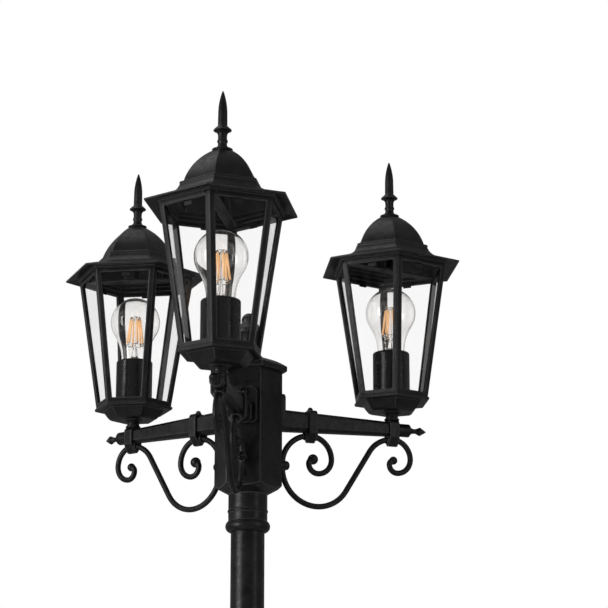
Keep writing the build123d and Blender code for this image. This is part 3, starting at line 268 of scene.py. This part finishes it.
# The name, two tones, the grain in mm, the roughness and its drift, the relief in mm.
phenolic = grained(
    "phenolic_moulding", "#0d0d0e", "#131314", 9.0, 0.30, 0.04, 0.05, IOR=1.5)
blackened_steel = grained(
    "hot_blackened_steel", "#2b2b2d", "#38383a", 1.5, 0.34, 0.06, 0.05, Metallic=1.0)
painted_strip = grained(
    "painted_steel_strip", "#060607", "#0c0c0d", 2.5, 0.50, 0.05, 0.08, IOR=1.5)
zinc_plate = grained(
    "zinc_plated_steel", "#a9acad", "#c3c5c4", 3.0, 0.34, 0.08, 0.03, Metallic=1.0)
nickel_plate = grained(
    "nickel_plated_brass", "#c2c0ba", "#d2d0ca", 2.0, 0.22, 0.05, 0.02, Metallic=1.0)
solder = grained(
    "tin_solder", "#a7a7a6", "#bdbdbc", 0.9, 0.36, 0.10, 0.10, Metallic=1.0)
black_glass = grained(
    "black_glass_insulator", "#0d0d10", "#15151a", 3.0, 0.12, 0.04, 0.02, IOR=1.52)
nylon = grained(
    "moulded_nylon", "#dcd9d0", "#e6e3da", 4.0, 0.48, 0.05, 0.05, IOR=1.53)
rubber = grained(
    "black_epdm_rubber", "#171717", "#1f1f1f", 1.2, 0.62, 0.06, 0.10, IOR=1.52)
print("finishes so far:", len(bpy.data.materials))

# %% [markdown]
# ## Dress the CAD nodes
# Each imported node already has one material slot. A finish is given to that slot, and the
# mesh is left alone.

# %% Assign the finishes
COATED = ("base_casting", "base_capital", "lower_column", "lower_coupling", "upper_coupling",
          "hub_casting", "hub_cap", "hub_finial", "arm", "scroll", "scroll_clamps",
          "lantern_floor", "lantern_cage", "lantern_roof", "finial", "crossbar")
NODE_FINISH = dict.fromkeys(COATED, cast_coat) | {
    "middle_tube": tube_coat, "upper_tube": tube_coat, "glass_panes": pane_glass,
    "pane_clips": painted_strip, "lampholder": phenolic, "finial_washer": rubber,
    "pole_set_screws": blackened_steel, "lantern_nipples": zinc_plate,
    "terminal_block": nylon, "lamp_leads": rubber}
dressed = 0
for name, thing in nodes.items():
    kind = name.rsplit("_", 1)[0] if name.endswith(SIDES) else name
    if kind in NODE_FINISH:
        thing.material_slots[0].material = NODE_FINISH[kind]
        dressed += 1
print("dressed nodes:", dressed)

# %% [markdown]
# ## Mesh helpers
# A lamp is a glass-blower's and a press-shop's work, so most of it is turned on a lathe: a
# list of (radius, height) points is spun about the vertical axis, and a point with no radius
# closes the pole with one vertex. Everything is built in place, so the object stays at the
# origin as a CAD node does.

# %% Mesh helpers
def keep_mesh(name, mesh, materials, smooth=True):
    """A linked object for a mesh, smooth shaded, with its materials."""
    for material in materials:
        if material.name not in mesh.materials:
            mesh.materials.append(material)
    if smooth:
        mesh.polygons.foreach_set("use_smooth", [True] * len(mesh.polygons))
    thing = bpy.data.objects.new(name, mesh)
    bpy.context.scene.collection.objects.link(thing)
    return thing


def in_mm(points):
    """A profile that is written in millimetres."""
    return [(radius * MM, height * MM) for radius, height in points]


def lathe(name, profile, at, material, segments=64, sharp_degrees=40):
    """The profile's (radius, height) points spun about a vertical axis that stands at a point."""
    shape = bmesh.new()
    rings = []
    for radius, height in profile:
        if radius == 0:
            rings.append([shape.verts.new(at + Vector((0, 0, height)))])
            continue
        rings.append([
            shape.verts.new(at + Vector((radius * math.cos(a), radius * math.sin(a), height)))
            for a in (2 * math.pi * i / segments for i in range(segments))])
    for low, high in zip(rings, rings[1:]):
        for i in range(segments):
            corners = [low[i % len(low)], low[(i + 1) % len(low)],
                       high[(i + 1) % len(high)], high[i % len(high)]]
            shape.faces.new(dict.fromkeys(corners))
    if profile[0] == profile[-1]:
        bmesh.ops.remove_doubles(shape, verts=shape.verts, dist=1e-7)
    bmesh.ops.recalc_face_normals(shape, faces=shape.faces)
    for edge in shape.edges:
        edge.smooth = edge.calc_face_angle(0) < math.radians(sharp_degrees)
    mesh = bpy.data.meshes.new(name)
    shape.to_mesh(mesh)
    shape.free()
    return keep_mesh(name, mesh, [material])


def plain_copy(thing):
    """A new mesh of what an object's modifiers make of it."""
    graph = bpy.context.evaluated_depsgraph_get()
    return bpy.data.meshes.new_from_object(thing.evaluated_get(graph))


def from_nodes(name, tree, values, points=None):
    """Run a geometry tree with its inputs' values on some points, and keep the plain mesh."""
    host = bpy.data.objects.new(name + "_host", points or bpy.data.meshes.new(name + "_base"))
    bpy.context.scene.collection.objects.link(host)
    modifier = host.modifiers.new("Shape", "NODES")
    modifier.node_group = tree
    sockets = {item.name: item.identifier for item in tree.interface.items_tree
               if item.in_out == "INPUT"}
    for label, value in values.items():
        modifier[sockets[label]] = value
    host.data.update()
    mesh = plain_copy(host)
    bpy.data.objects.remove(host)
    return keep_mesh(name, mesh, [])


def geometry_tree(name, inputs, geometry_in=True):
    """An empty geometry tree with these named inputs: (label, socket type, default)."""
    tree = bpy.data.node_groups.new(name, "GeometryNodeTree")
    if geometry_in:
        tree.interface.new_socket("Geometry", in_out="INPUT", socket_type="NodeSocketGeometry")
    for label, kind, default in inputs:
        socket = tree.interface.new_socket(label, in_out="INPUT", socket_type=kind)
        if default is not None:
            socket.default_value = default
    tree.interface.new_socket("Geometry", in_out="OUTPUT", socket_type="NodeSocketGeometry")
    return tree, add(tree, "NodeGroupInput").outputs


# %% [markdown]
# ## Screws
# Each arm is held by a round-headed screw through its flange and one through the scroll, six
# in all, with a cross recess in the head. One screw is modelled well: a dome turned on the
# lathe helper, with the recess cut by a Boolean. A geometry tree then puts a copy on each
# point, turned to the point's own direction and scaled to its head.
# The points come from the CAD screws, one for each loose part of their node.

# %% One screw
HEAD_R, HEAD_H, HEAD_RIM_H = 6.0 * MM, 4.2 * MM, 1.05 * MM
DOME_DEGREES = range(84, 5, -6)
SHANK_R, SHANK, SHANK_TIP_R, SHANK_TIP_H = 2.45 * MM, 14.0 * MM, 2.05 * MM, 0.6 * MM
RECESS_W, RECESS_REACH, RECESS_DEPTH, RECESS_ABOVE = 1.5 * MM, 3.1 * MM, 2.2 * MM, 1.0 * MM


def box_between(shape, low, high):
    """A box in a bmesh, from corner to corner."""
    for vertex in bmesh.ops.create_cube(shape, size=1.0)["verts"]:
        vertex.co = Vector((low[i] if vertex.co[i] < 0 else high[i] for i in range(3)))


def cross_screw():
    """A domed screw at the origin, head up, with a cross recess."""
    dome = [(HEAD_R * math.sin(a), HEAD_RIM_H + (HEAD_H - HEAD_RIM_H) * math.cos(a))
            for a in map(math.radians, DOME_DEGREES)]
    profile = [(0, -SHANK), (SHANK_TIP_R, -SHANK), (SHANK_R, -SHANK + SHANK_TIP_H), (SHANK_R, 0),
               (HEAD_R, 0), (HEAD_R, HEAD_RIM_H), *dome, (0, HEAD_H)]
    screw = lathe("screw_master", profile, Vector(), blackened_steel, segments=40)
    slots = bmesh.new()
    for x, y in ((RECESS_REACH, RECESS_W / 2), (RECESS_W / 2, RECESS_REACH)):
        box_between(slots, (-x, -y, HEAD_H - RECESS_DEPTH), (x, y, HEAD_H + RECESS_ABOVE))
    slots_mesh = bpy.data.meshes.new("recess")
    slots.to_mesh(slots_mesh)
    slots.free()
    cutter = keep_mesh("recess", slots_mesh, [blackened_steel], smooth=False)
    cut = screw.modifiers.new("Recess", "BOOLEAN")
    cut.object, cut.solver, cut.use_self = cutter, "EXACT", True
    mesh = plain_copy(screw)
    for helper in (screw, cutter):
        bpy.data.objects.remove(helper)
    return keep_mesh("screw_master", mesh, [])


master = cross_screw()
print("screw:", len(master.data.polygons), "faces")

# %% The tree that sets the screws
screw_tree, given = geometry_tree("Screws on their seats", [
    ("Screw", "NodeSocketObject", None), ("Finish", "NodeSocketMaterial", None)])
facing, size = (
    add(screw_tree, "GeometryNodeInputNamedAttribute", {"Name": label}, data_type="FLOAT_VECTOR")
    for label in ("facing", "size"))
turn = add(screw_tree, "FunctionNodeAlignRotationToVector", {
    "Vector": facing.outputs["Attribute"]}, axis="Z")
shape = add(screw_tree, "GeometryNodeObjectInfo", {"Object": given["Screw"]})
placed = add(screw_tree, "GeometryNodeInstanceOnPoints", {
    "Points": given["Geometry"], "Instance": shape.outputs["Geometry"],
    "Rotation": turn.outputs["Rotation"], "Scale": size.outputs["Attribute"]})
real = add(screw_tree, "GeometryNodeRealizeInstances", {"Geometry": placed.outputs["Instances"]})
coated = add(screw_tree, "GeometryNodeSetMaterial", {
    "Geometry": real.outputs[0], "Material": given["Finish"]})
add(screw_tree, "NodeGroupOutput", {"Geometry": coated.outputs[0]})
print("tree:", screw_tree.name)


# %% Set the screws where the CAD has them
def loose_parts(node):
    """The vertices of each loose part of a CAD node, read from a merged copy of its mesh."""
    shape = bmesh.new()
    shape.from_mesh(nodes[node].data)
    bmesh.ops.remove_doubles(shape, verts=shape.verts, dist=1e-6)
    left, parts = set(shape.verts), []
    while left:
        todo, part = [left.pop()], []
        while todo:
            vertex = todo.pop()
            part.append(vertex.co.copy())
            for edge in vertex.link_edges:
                other = edge.other_vert(vertex)
                if other in left:
                    left.remove(other)
                    todo.append(other)
        parts.append(part)
    shape.free()
    return parts


seats, facings, sizes = [], [], []
for part in loose_parts("arm_screws"):
    top, bottom = max(v.z for v in part), min(v.z for v in part)
    out = (sum((Vector((v.x, v.y, 0)) for v in part), Vector()) / len(part)).normalized()
    head_scale = (top - bottom) / 2 / HEAD_R
    seat = out * (max(v.dot(out) for v in part) - HEAD_H)
    seats.append(seat + Vector((0, 0, (top + bottom) / 2)))
    facings.append(out)
    sizes.append((head_scale, head_scale, 1.0))
points = bpy.data.meshes.new("screw_seats")
points.from_pydata(seats, [], [])
for label, values in (("facing", facings), ("size", sizes)):
    attribute = points.attributes.new(label, "FLOAT_VECTOR", "POINT")
    attribute.data.foreach_set("vector", [x for v in values for x in v])
screws = from_nodes("arm_and_scroll_screws", screw_tree, {
    "Screw": master, "Finish": blackened_steel}, points)
bpy.data.objects.remove(master)
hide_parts("arm_screws")
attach(screws, "root")
print("screws:", len(seats))

# %% [markdown]
# ## The lamps: the glass
# Each lamp is a clear filament lamp of the common pear form: a narrow neck that opens into a
# ball. The glass is blown into a mould, so its outline is one smooth line. Here the ball is
# an arc, and the neck meets it in a curve that starts upright and ends along the ball, which
# a cubic does exactly. The wall is drawn with both of its faces, because refraction through
# two faces is what makes the pale grey rim of a clear lamp.

# %% Blow the glass
WALL = 0.8 * MM
NECK_PAST_CAP, NECK_STRAIGHT = 0.4 * MM, 2.0 * MM
JOIN = math.radians(-30)                 # where the neck's curve meets the ball, below its middle
NECK_PULL, BALL_PULL = 0.42, 0.36        # the cubic's two handles, as shares of the curve's rise
NECK_STEPS, BALL_STEPS, GLASS_SEGMENTS = 14, 24, 96


def pear(ball_r, neck_r, low, high, inset):
    """The lamp's outline from its neck up to the pole, moved in by an inset."""
    centre = high - ball_r
    ball, neck = ball_r - inset, neck_r - inset
    start = Vector((neck, low + NECK_STRAIGHT))
    meet = Vector((ball * math.cos(JOIN), centre + ball * math.sin(JOIN)))
    rise = meet.y - low
    up = start + Vector((0.0, NECK_PULL * rise))
    back = meet - Vector((math.sin(-JOIN), math.cos(JOIN))) * BALL_PULL * rise
    line = [(neck, low)]
    for t in (i / NECK_STEPS for i in range(NECK_STEPS)):
        line.append(tuple(start * (1 - t) ** 3 + up * 3 * t * (1 - t) ** 2
                          + back * 3 * t * t * (1 - t) + meet * t ** 3))
    for a in (JOIN + (math.pi / 2 - JOIN) * i / BALL_STEPS for i in range(BALL_STEPS)):
        line.append((ball * math.cos(a), centre + ball * math.sin(a)))
    return line + [(0, centre + ball)]


lamps = {}
for side in SIDES:
    low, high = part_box(f"bulb_glass_{side}")
    cap_low, cap_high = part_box(f"bulb_cap_{side}")
    axis = Vector(((low.x + high.x) / 2, (low.y + high.y) / 2, 0))
    ball_r, neck_r = (high.x - low.x) / 2, (cap_high.x - cap_low.x) / 2 + NECK_PAST_CAP
    lamps[side] = {"axis": axis, "cap_low": cap_low.z, "cap_high": cap_high.z,
                   "cap_r": cap_high.x - axis.x}
    faces = [lathe(f"lamp_glass_{side}",
                   [(0, low.z + inset), *pear(ball_r, neck_r, low.z + inset, high.z, inset)],
                   axis, lamp_glass, segments=GLASS_SEGMENTS) for inset in (0.0, WALL)]
    glass, hollow = faces
    hollow.data.flip_normals()
    shell = bmesh.new()
    for face in faces:
        shell.from_mesh(face.data)
    shell.to_mesh(glass.data)
    shell.free()
    glass.data.polygons.foreach_set("use_smooth", [True] * len(glass.data.polygons))
    bpy.data.objects.remove(hollow)
    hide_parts(f"bulb_glass_{side}")
    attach(glass, f"bulb_thread_{side}")
print(f"lamp glasses: {len(lamps)}, {2 * ball_r / MM:.1f} mm across")

# %% [markdown]
# ## The lamps: the screw caps
# A cap is a shell of thin brass, rolled between two dies so that its thread is a round wave
# that climbs 25.4/7 mm a turn. A geometry tree draws it: a spiral with a round section for
# the crest, laid on a plain sleeve. Its sizes are inputs, so that the same tree would make
# a candle lamp's smaller cap. Black glass closes the cap's foot round a dot of solder.

# %% The cap's tree
cap_tree, given = geometry_tree("Rolled screw cap", [
    ("Thread radius", "NodeSocketFloat", 0.0131), ("Pitch", "NodeSocketFloat", 0.0036),
    ("Turns", "NodeSocketFloat", 5.0), ("Crest", "NodeSocketFloat", 0.0011),
    ("Place", "NodeSocketVector", None), ("Finish", "NodeSocketMaterial", None)],
    geometry_in=False)
length = add(cap_tree, "ShaderNodeMath", {
    0: given["Pitch"], 1: given["Turns"]}, operation="MULTIPLY").outputs[0]
coil_r = add(cap_tree, "ShaderNodeMath", {
    0: given["Thread radius"], 1: given["Crest"]}, operation="SUBTRACT").outputs[0]
half = add(cap_tree, "ShaderNodeMath", {0: length, 1: 0.5}, operation="MULTIPLY")
middle = add(cap_tree, "ShaderNodeCombineXYZ", {"Z": half.outputs[0]})
spiral = add(cap_tree, "GeometryNodeCurveSpiral", {
    "Resolution": 48, "Rotations": given["Turns"], "Start Radius": coil_r,
    "End Radius": coil_r, "Height": length})
section = add(cap_tree, "GeometryNodeCurvePrimitiveCircle", {
    "Resolution": 12, "Radius": given["Crest"]})
crest = add(cap_tree, "GeometryNodeCurveToMesh", {
    "Curve": spiral.outputs[0], "Profile Curve": section.outputs["Curve"], "Fill Caps": True})
sleeve = add(cap_tree, "GeometryNodeMeshCylinder", {
    "Vertices": 64, "Radius": coil_r, "Depth": length})
sleeve_up = add(cap_tree, "GeometryNodeTransform", {
    "Geometry": sleeve.outputs["Mesh"], "Translation": middle.outputs[0]})
joined = add(cap_tree, "GeometryNodeJoinGeometry")
for piece in (crest, sleeve_up):
    cap_tree.links.new(piece.outputs[0], joined.inputs[0])
moved = add(cap_tree, "GeometryNodeTransform", {
    "Geometry": joined.outputs[0], "Translation": given["Place"]})
real = add(cap_tree, "GeometryNodeRealizeInstances", {"Geometry": moved.outputs[0]})
plated = add(cap_tree, "GeometryNodeSetMaterial", {
    "Geometry": real.outputs[0], "Material": given["Finish"]})
add(cap_tree, "NodeGroupOutput", {"Geometry": plated.outputs[0]})
print("tree:", cap_tree.name)

# %% Fit the caps
CAP_TURNS, THREAD_R, CREST_R, CORE_R = 5, 13.1 * MM, 1.1 * MM, 12.0 * MM
FOOT_H, RIM_H, RIM_EDGE_W, RIM_EDGE_H = 6.0 * MM, 1.0 * MM, 1.0 * MM, 0.4 * MM
INSULATOR = [*in_mm([(0, 1.2), (5.2, 1.2), (8.6, 2.6), (11.4, 4.9)]), (CORE_R, FOOT_H), (0, FOOT_H)]
CONTACT = in_mm([(0, 0), (2.4, 0.15), (3.9, 0.7), (4.4, 1.4), (0, 1.4)])
for side, lamp in lamps.items():
    foot = lamp["axis"] + Vector((0, 0, lamp["cap_low"]))
    thread_h = lamp["cap_high"] - lamp["cap_low"] - FOOT_H - RIM_H
    rim_r, rim_low = lamp["cap_r"], FOOT_H + thread_h
    rim_high = rim_low + RIM_H
    threaded = from_nodes(f"lamp_cap_{side}", cap_tree, {
        "Thread radius": THREAD_R, "Pitch": thread_h / CAP_TURNS, "Turns": float(CAP_TURNS),
        "Crest": CREST_R, "Place": foot + Vector((0, 0, FOOT_H)), "Finish": nickel_plate})
    rim = lathe(f"lamp_cap_rim_{side}", [
        (0, rim_low), (CORE_R, rim_low), (rim_r - RIM_EDGE_W, rim_low),
        (rim_r, rim_low + RIM_EDGE_H), (rim_r, rim_high), (0, rim_high)], foot, nickel_plate)
    insulator = lathe(f"lamp_cap_insulator_{side}", INSULATOR, foot, black_glass)
    contact = lathe(f"lamp_cap_contact_{side}", CONTACT, foot, solder)
    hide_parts(f"bulb_cap_{side}")
    for piece in (threaded, rim, insulator, contact):
        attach(piece, f"bulb_{side}")
print("caps:", len(lamps))

# %% [markdown]
# ## The lamps: stem and filaments
# Inside the glass, a stem carries six upright strips. Each strip is a row of tiny emitters
# under a coat of orange-yellow phosphor, with a bright metal tab at either end. The coat
# scatters light inside itself, which a little subsurface and a faint glow stand for. A ring
# joins the strips at the foot and a smaller one at the top, so the strips lean in. A geometry
# tree makes one strip with its tabs and spreads copies round the stem.

# %% The filaments' tree
COAT_LENGTH_SHARE, TAB_RADIUS_SHARE = 0.86, 0.55
filament_tree, given = geometry_tree("Leaning filaments", [
    ("Count", "NodeSocketInt", 6), ("Foot radius", "NodeSocketFloat", 0.010),
    ("Top radius", "NodeSocketFloat", 0.0055), ("Height", "NodeSocketFloat", 0.034),
    ("Strip radius", "NodeSocketFloat", 0.001), ("Place", "NodeSocketVector", None),
    ("Phosphor", "NodeSocketMaterial", None), ("Tab", "NodeSocketMaterial", None)],
    geometry_in=False)
narrowing = add(filament_tree, "ShaderNodeMath", {
    0: given["Foot radius"], 1: given["Top radius"]}, operation="SUBTRACT")
lean = add(filament_tree, "ShaderNodeMath", {
    0: narrowing.outputs[0], 1: given["Height"]}, operation="ARCTAN2")
back = add(filament_tree, "ShaderNodeMath", {0: lean.outputs[0], 1: -1.0}, operation="MULTIPLY")
half = add(filament_tree, "ShaderNodeMath", {0: given["Height"], 1: 0.5}, operation="MULTIPLY")
strip_turn = add(filament_tree, "ShaderNodeCombineXYZ", {"Y": back.outputs[0]})
strip_foot = add(filament_tree, "ShaderNodeCombineXYZ", {"X": given["Foot radius"]})
up = add(filament_tree, "ShaderNodeCombineXYZ", {"Z": half.outputs[0]})
pair = add(filament_tree, "GeometryNodeJoinGeometry")
for length_share, radius_share, label in ((COAT_LENGTH_SHARE, 1.0, "Phosphor"),
                                          (1.0, TAB_RADIUS_SHARE, "Tab")):
    tall = add(filament_tree, "ShaderNodeMath", {
        0: given["Height"], 1: length_share}, operation="MULTIPLY")
    wide = add(filament_tree, "ShaderNodeMath", {
        0: given["Strip radius"], 1: radius_share}, operation="MULTIPLY")
    strip = add(filament_tree, "GeometryNodeMeshCylinder", {
        "Vertices": 12, "Radius": wide.outputs[0], "Depth": tall.outputs[0]})
    raised = add(filament_tree, "GeometryNodeTransform", {
        "Geometry": strip.outputs["Mesh"], "Translation": up.outputs[0]})
    leaned = add(filament_tree, "GeometryNodeTransform", {
        "Geometry": raised.outputs[0], "Translation": strip_foot.outputs[0],
        "Rotation": strip_turn.outputs[0]})
    finished = add(filament_tree, "GeometryNodeSetMaterial", {
        "Geometry": leaned.outputs[0], "Material": given[label]})
    filament_tree.links.new(finished.outputs[0], pair.inputs[0])
dots = add(filament_tree, "GeometryNodePoints", {"Count": given["Count"]})
step = add(filament_tree, "ShaderNodeMath", {
    0: 2 * math.pi, 1: given["Count"]}, operation="DIVIDE")
number = add(filament_tree, "GeometryNodeInputIndex")
angle = add(filament_tree, "ShaderNodeMath", {
    0: number.outputs[0], 1: step.outputs[0]}, operation="MULTIPLY")
around = add(filament_tree, "ShaderNodeCombineXYZ", {"Z": angle.outputs[0]})
ring = add(filament_tree, "GeometryNodeInstanceOnPoints", {
    "Points": dots.outputs[0], "Instance": pair.outputs[0], "Rotation": around.outputs[0]})
moved = add(filament_tree, "GeometryNodeTransform", {
    "Geometry": ring.outputs[0], "Translation": given["Place"]})
real = add(filament_tree, "GeometryNodeRealizeInstances", {"Geometry": moved.outputs[0]})
add(filament_tree, "NodeGroupOutput", {"Geometry": real.outputs[0]})
print("tree:", filament_tree.name)

# %% Stand the filaments in the lamps
phosphor = grained(
    "phosphor_coated_strip", "#ffc27a", "#ffe6c2", 1.2, 0.55, 0.06, 0.08, IOR=1.45,
    Subsurface_Weight=0.15, Emission_Color=linear("#ffbb78"), Emission_Strength=0.42)
FILAMENTS, STRIP_R, ROOM_ABOVE = 6, 1.2 * MM, 1.0 * MM
FOOT_RING_R, TOP_RING_R, FOOT_RING_H = 10.0 * MM, 5.5 * MM, 24.0 * MM
RING_IN, RING_OUT, RING_HALF = 0.9 * MM, 0.6 * MM, 0.35 * MM
STEM_EDGE_H, ROD_R, ROD_TIP_H = 0.72 * MM, 1.3 * MM, 0.6 * MM
STEM = in_mm([(8.0, 2.2), (5.2, 5.0), (4.0, 11.0), (2.9, 17.0), (2.1, 20.0), (1.5, 22.0)])
for side, lamp in lamps.items():
    low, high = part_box(f"bulb_filament_{side}")
    foot = lamp["axis"] + Vector((0, 0, low.z))
    foot_r = (high.x - low.x) / 2
    strips_h = high.z - low.z - FOOT_RING_H - ROOM_ABOVE
    top_ring_h = FOOT_RING_H + strips_h
    strips = from_nodes(f"lamp_filaments_{side}", filament_tree, {
        "Count": FILAMENTS, "Foot radius": FOOT_RING_R, "Top radius": TOP_RING_R,
        "Height": strips_h, "Strip radius": STRIP_R,
        "Place": foot + Vector((0, 0, FOOT_RING_H)), "Phosphor": phosphor, "Tab": nickel_plate})
    pieces = [strips, lathe(f"lamp_stem_{side}", [
        (0, 0), (foot_r, 0), (foot_r, STEM_EDGE_H), *STEM, (ROD_R, top_ring_h),
        (0, top_ring_h + ROD_TIP_H)], foot, lamp_glass, segments=32)]
    for label, radius, height in (("foot", FOOT_RING_R, FOOT_RING_H),
                                  ("top", TOP_RING_R, top_ring_h)):
        inner, outer = radius - RING_IN, radius + RING_OUT
        under, over = height - RING_HALF, height + RING_HALF
        pieces.append(lathe(f"lamp_{label}_ring_{side}", [
            (inner, under), (outer, under), (outer, over), (inner, over), (inner, under)],
            foot, nickel_plate, segments=40))
    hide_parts(f"bulb_filament_{side}")
    for piece in pieces:
        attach(piece, f"bulb_{side}")
print("filament lamps:", len(lamps))

# %% [markdown]
# ## Floor, sky and lights
# The post stands on a plain pale floor. To the camera a white veil lies over it, partly at
# the post, so that the shadow stays, and fully far away, where the floor meets the sky. The
# sky is white to the camera and through glass, and dim as a light, though a little brighter
# in reflections. Three soft lights do the rest: a large one from the left, which gives the
# facets their sheen, a narrower one from the right that draws the edges, and one overhead.

# %% The floor
FLOOR_HALF, VEIL_NEAR, VEIL_STARTS, VEIL_ENDS = 30.0, 0.72, 1.5, 9.0
floor_mesh = bpy.data.meshes.new("floor")
floor_mesh.from_pydata([(x * FLOOR_HALF, y * FLOOR_HALF, 0) for x, y in
                        ((-1, -1), (1, -1), (1, 1), (-1, 1))], [], [(0, 1, 2, 3)])
floor_paint = grained("matt_floor_paint", "#eeeeec", "#f3f3f1", 60.0, 0.8, 0.05, 0.05)
floor_tree = floor_paint.node_tree
to_camera = add(floor_tree, "ShaderNodeLightPath").outputs["Is Camera Ray"]
place = add(floor_tree, "ShaderNodeNewGeometry").outputs["Position"]
away = add(floor_tree, "ShaderNodeVectorMath", {0: place}, operation="LENGTH").outputs["Value"]
fade = add(floor_tree, "ShaderNodeMapRange", {
    "Value": away, "From Min": VEIL_STARTS, "From Max": VEIL_ENDS, "To Min": VEIL_NEAR})
veil = add(floor_tree, "ShaderNodeMath", {
    0: to_camera, 1: fade.outputs["Result"]}, operation="MULTIPLY")
white = add(floor_tree, "ShaderNodeEmission", {"Color": linear("#ffffff")})
both = add(floor_tree, "ShaderNodeMixShader", {
    0: veil.outputs[0], 1: floor_tree.nodes["Principled BSDF"].outputs[0], 2: white.outputs[0]})
floor_tree.links.new(both.outputs[0], floor_tree.nodes["Material Output"].inputs["Surface"])
floor = keep_mesh("floor", floor_mesh, [floor_paint], smooth=False)
floor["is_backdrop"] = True
print("floor:", 2 * FLOOR_HALF, "m wide")

# %% The sky and the lights
SKY_ON_OBJECT, GLOSSY_SHARE = 0.12, 0.1
sky = bpy.data.worlds.new("white_studio")
bpy.context.scene.world = sky
sky.use_nodes = True
sky_tree = sky.node_tree
rays = add(sky_tree, "ShaderNodeLightPath").outputs
shiny = add(sky_tree, "ShaderNodeMath", {
    0: rays["Is Glossy Ray"], 1: GLOSSY_SHARE}, operation="MULTIPLY")
direct = add(sky_tree, "ShaderNodeMath", {
    0: rays["Is Camera Ray"], 1: rays["Is Transmission Ray"]}, operation="MAXIMUM")
seen = add(sky_tree, "ShaderNodeMath", {
    0: direct.outputs[0], 1: shiny.outputs[0]}, operation="MAXIMUM")
level = add(sky_tree, "ShaderNodeMapRange", {
    "Value": seen.outputs[0], "To Min": SKY_ON_OBJECT, "To Max": 1.0})
backdrop = sky_tree.nodes["Background"]
backdrop.inputs["Color"].default_value = linear("#ffffff")
sky_tree.links.new(level.outputs["Result"], backdrop.inputs["Strength"])

HEAD = Vector((0.0, 0.0, 2.2))
LIGHTS = {  # place, width and height, watts
    "left_softbox": ((-2.7, -2.3, 2.2), (1.4, 2.4), 50.0),
    "right_strip": ((2.8, -1.4, 2.2), (0.7, 2.8), 7.0),
    "top_softbox": ((-1.2, 0.2, 4.8), (2.0, 2.0), 10.0)}
for name, (place, size, watts) in LIGHTS.items():
    light = bpy.data.lights.new(name, "AREA")
    light.shape, light.size, light.size_y, light.energy = "RECTANGLE", *size, watts
    thing = bpy.data.objects.new(name, light)
    bpy.context.scene.collection.objects.link(thing)
    thing.location = place
    thing.rotation_mode = "QUATERNION"
    thing.rotation_quaternion = (HEAD - thing.location).to_track_quat("-Z", "Y")
print("lights:", ", ".join(LIGHTS))

# %% [markdown]
# ## Camera
# The picture is a close view of the head from below and a little to the right, as a long
# lens takes it. The place, the turn and the focal length were fitted to the outline of the
# three lanterns, the hub and the arms.

# %% Set the camera
CAMERA_AT = Vector((0.3809, -2.2082, 1.6286))
CAMERA_YAW, CAMERA_PITCH = 0.1429, 0.2578
FOCAL_PIXELS, PICTURE_PIXELS, SENSOR_MM = 2026.3, 608, 36.0
camera = bpy.data.cameras.new("camera")
camera.sensor_fit, camera.sensor_width = "HORIZONTAL", SENSOR_MM
camera.lens = FOCAL_PIXELS / PICTURE_PIXELS * SENSOR_MM
eye = bpy.data.objects.new("camera", camera)
bpy.context.scene.collection.objects.link(eye)
eye.location = CAMERA_AT
forward = Vector((-math.sin(CAMERA_YAW) * math.cos(CAMERA_PITCH),
                  math.cos(CAMERA_YAW) * math.cos(CAMERA_PITCH), math.sin(CAMERA_PITCH)))
eye.rotation_mode = "QUATERNION"
eye.rotation_quaternion = forward.to_track_quat("-Z", "Y")
bpy.context.scene.camera = eye
bpy.context.scene.view_settings.view_transform = "Standard"
print(f"lens {camera.lens:.1f} mm")

# %% Measure the sizes and finish
low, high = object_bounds()
sizes = {"cad": [list(cad_low), list(cad_high)], "visual": [list(low), list(high)]}
print("visual size:", [round(v, 4) for v in high - low])
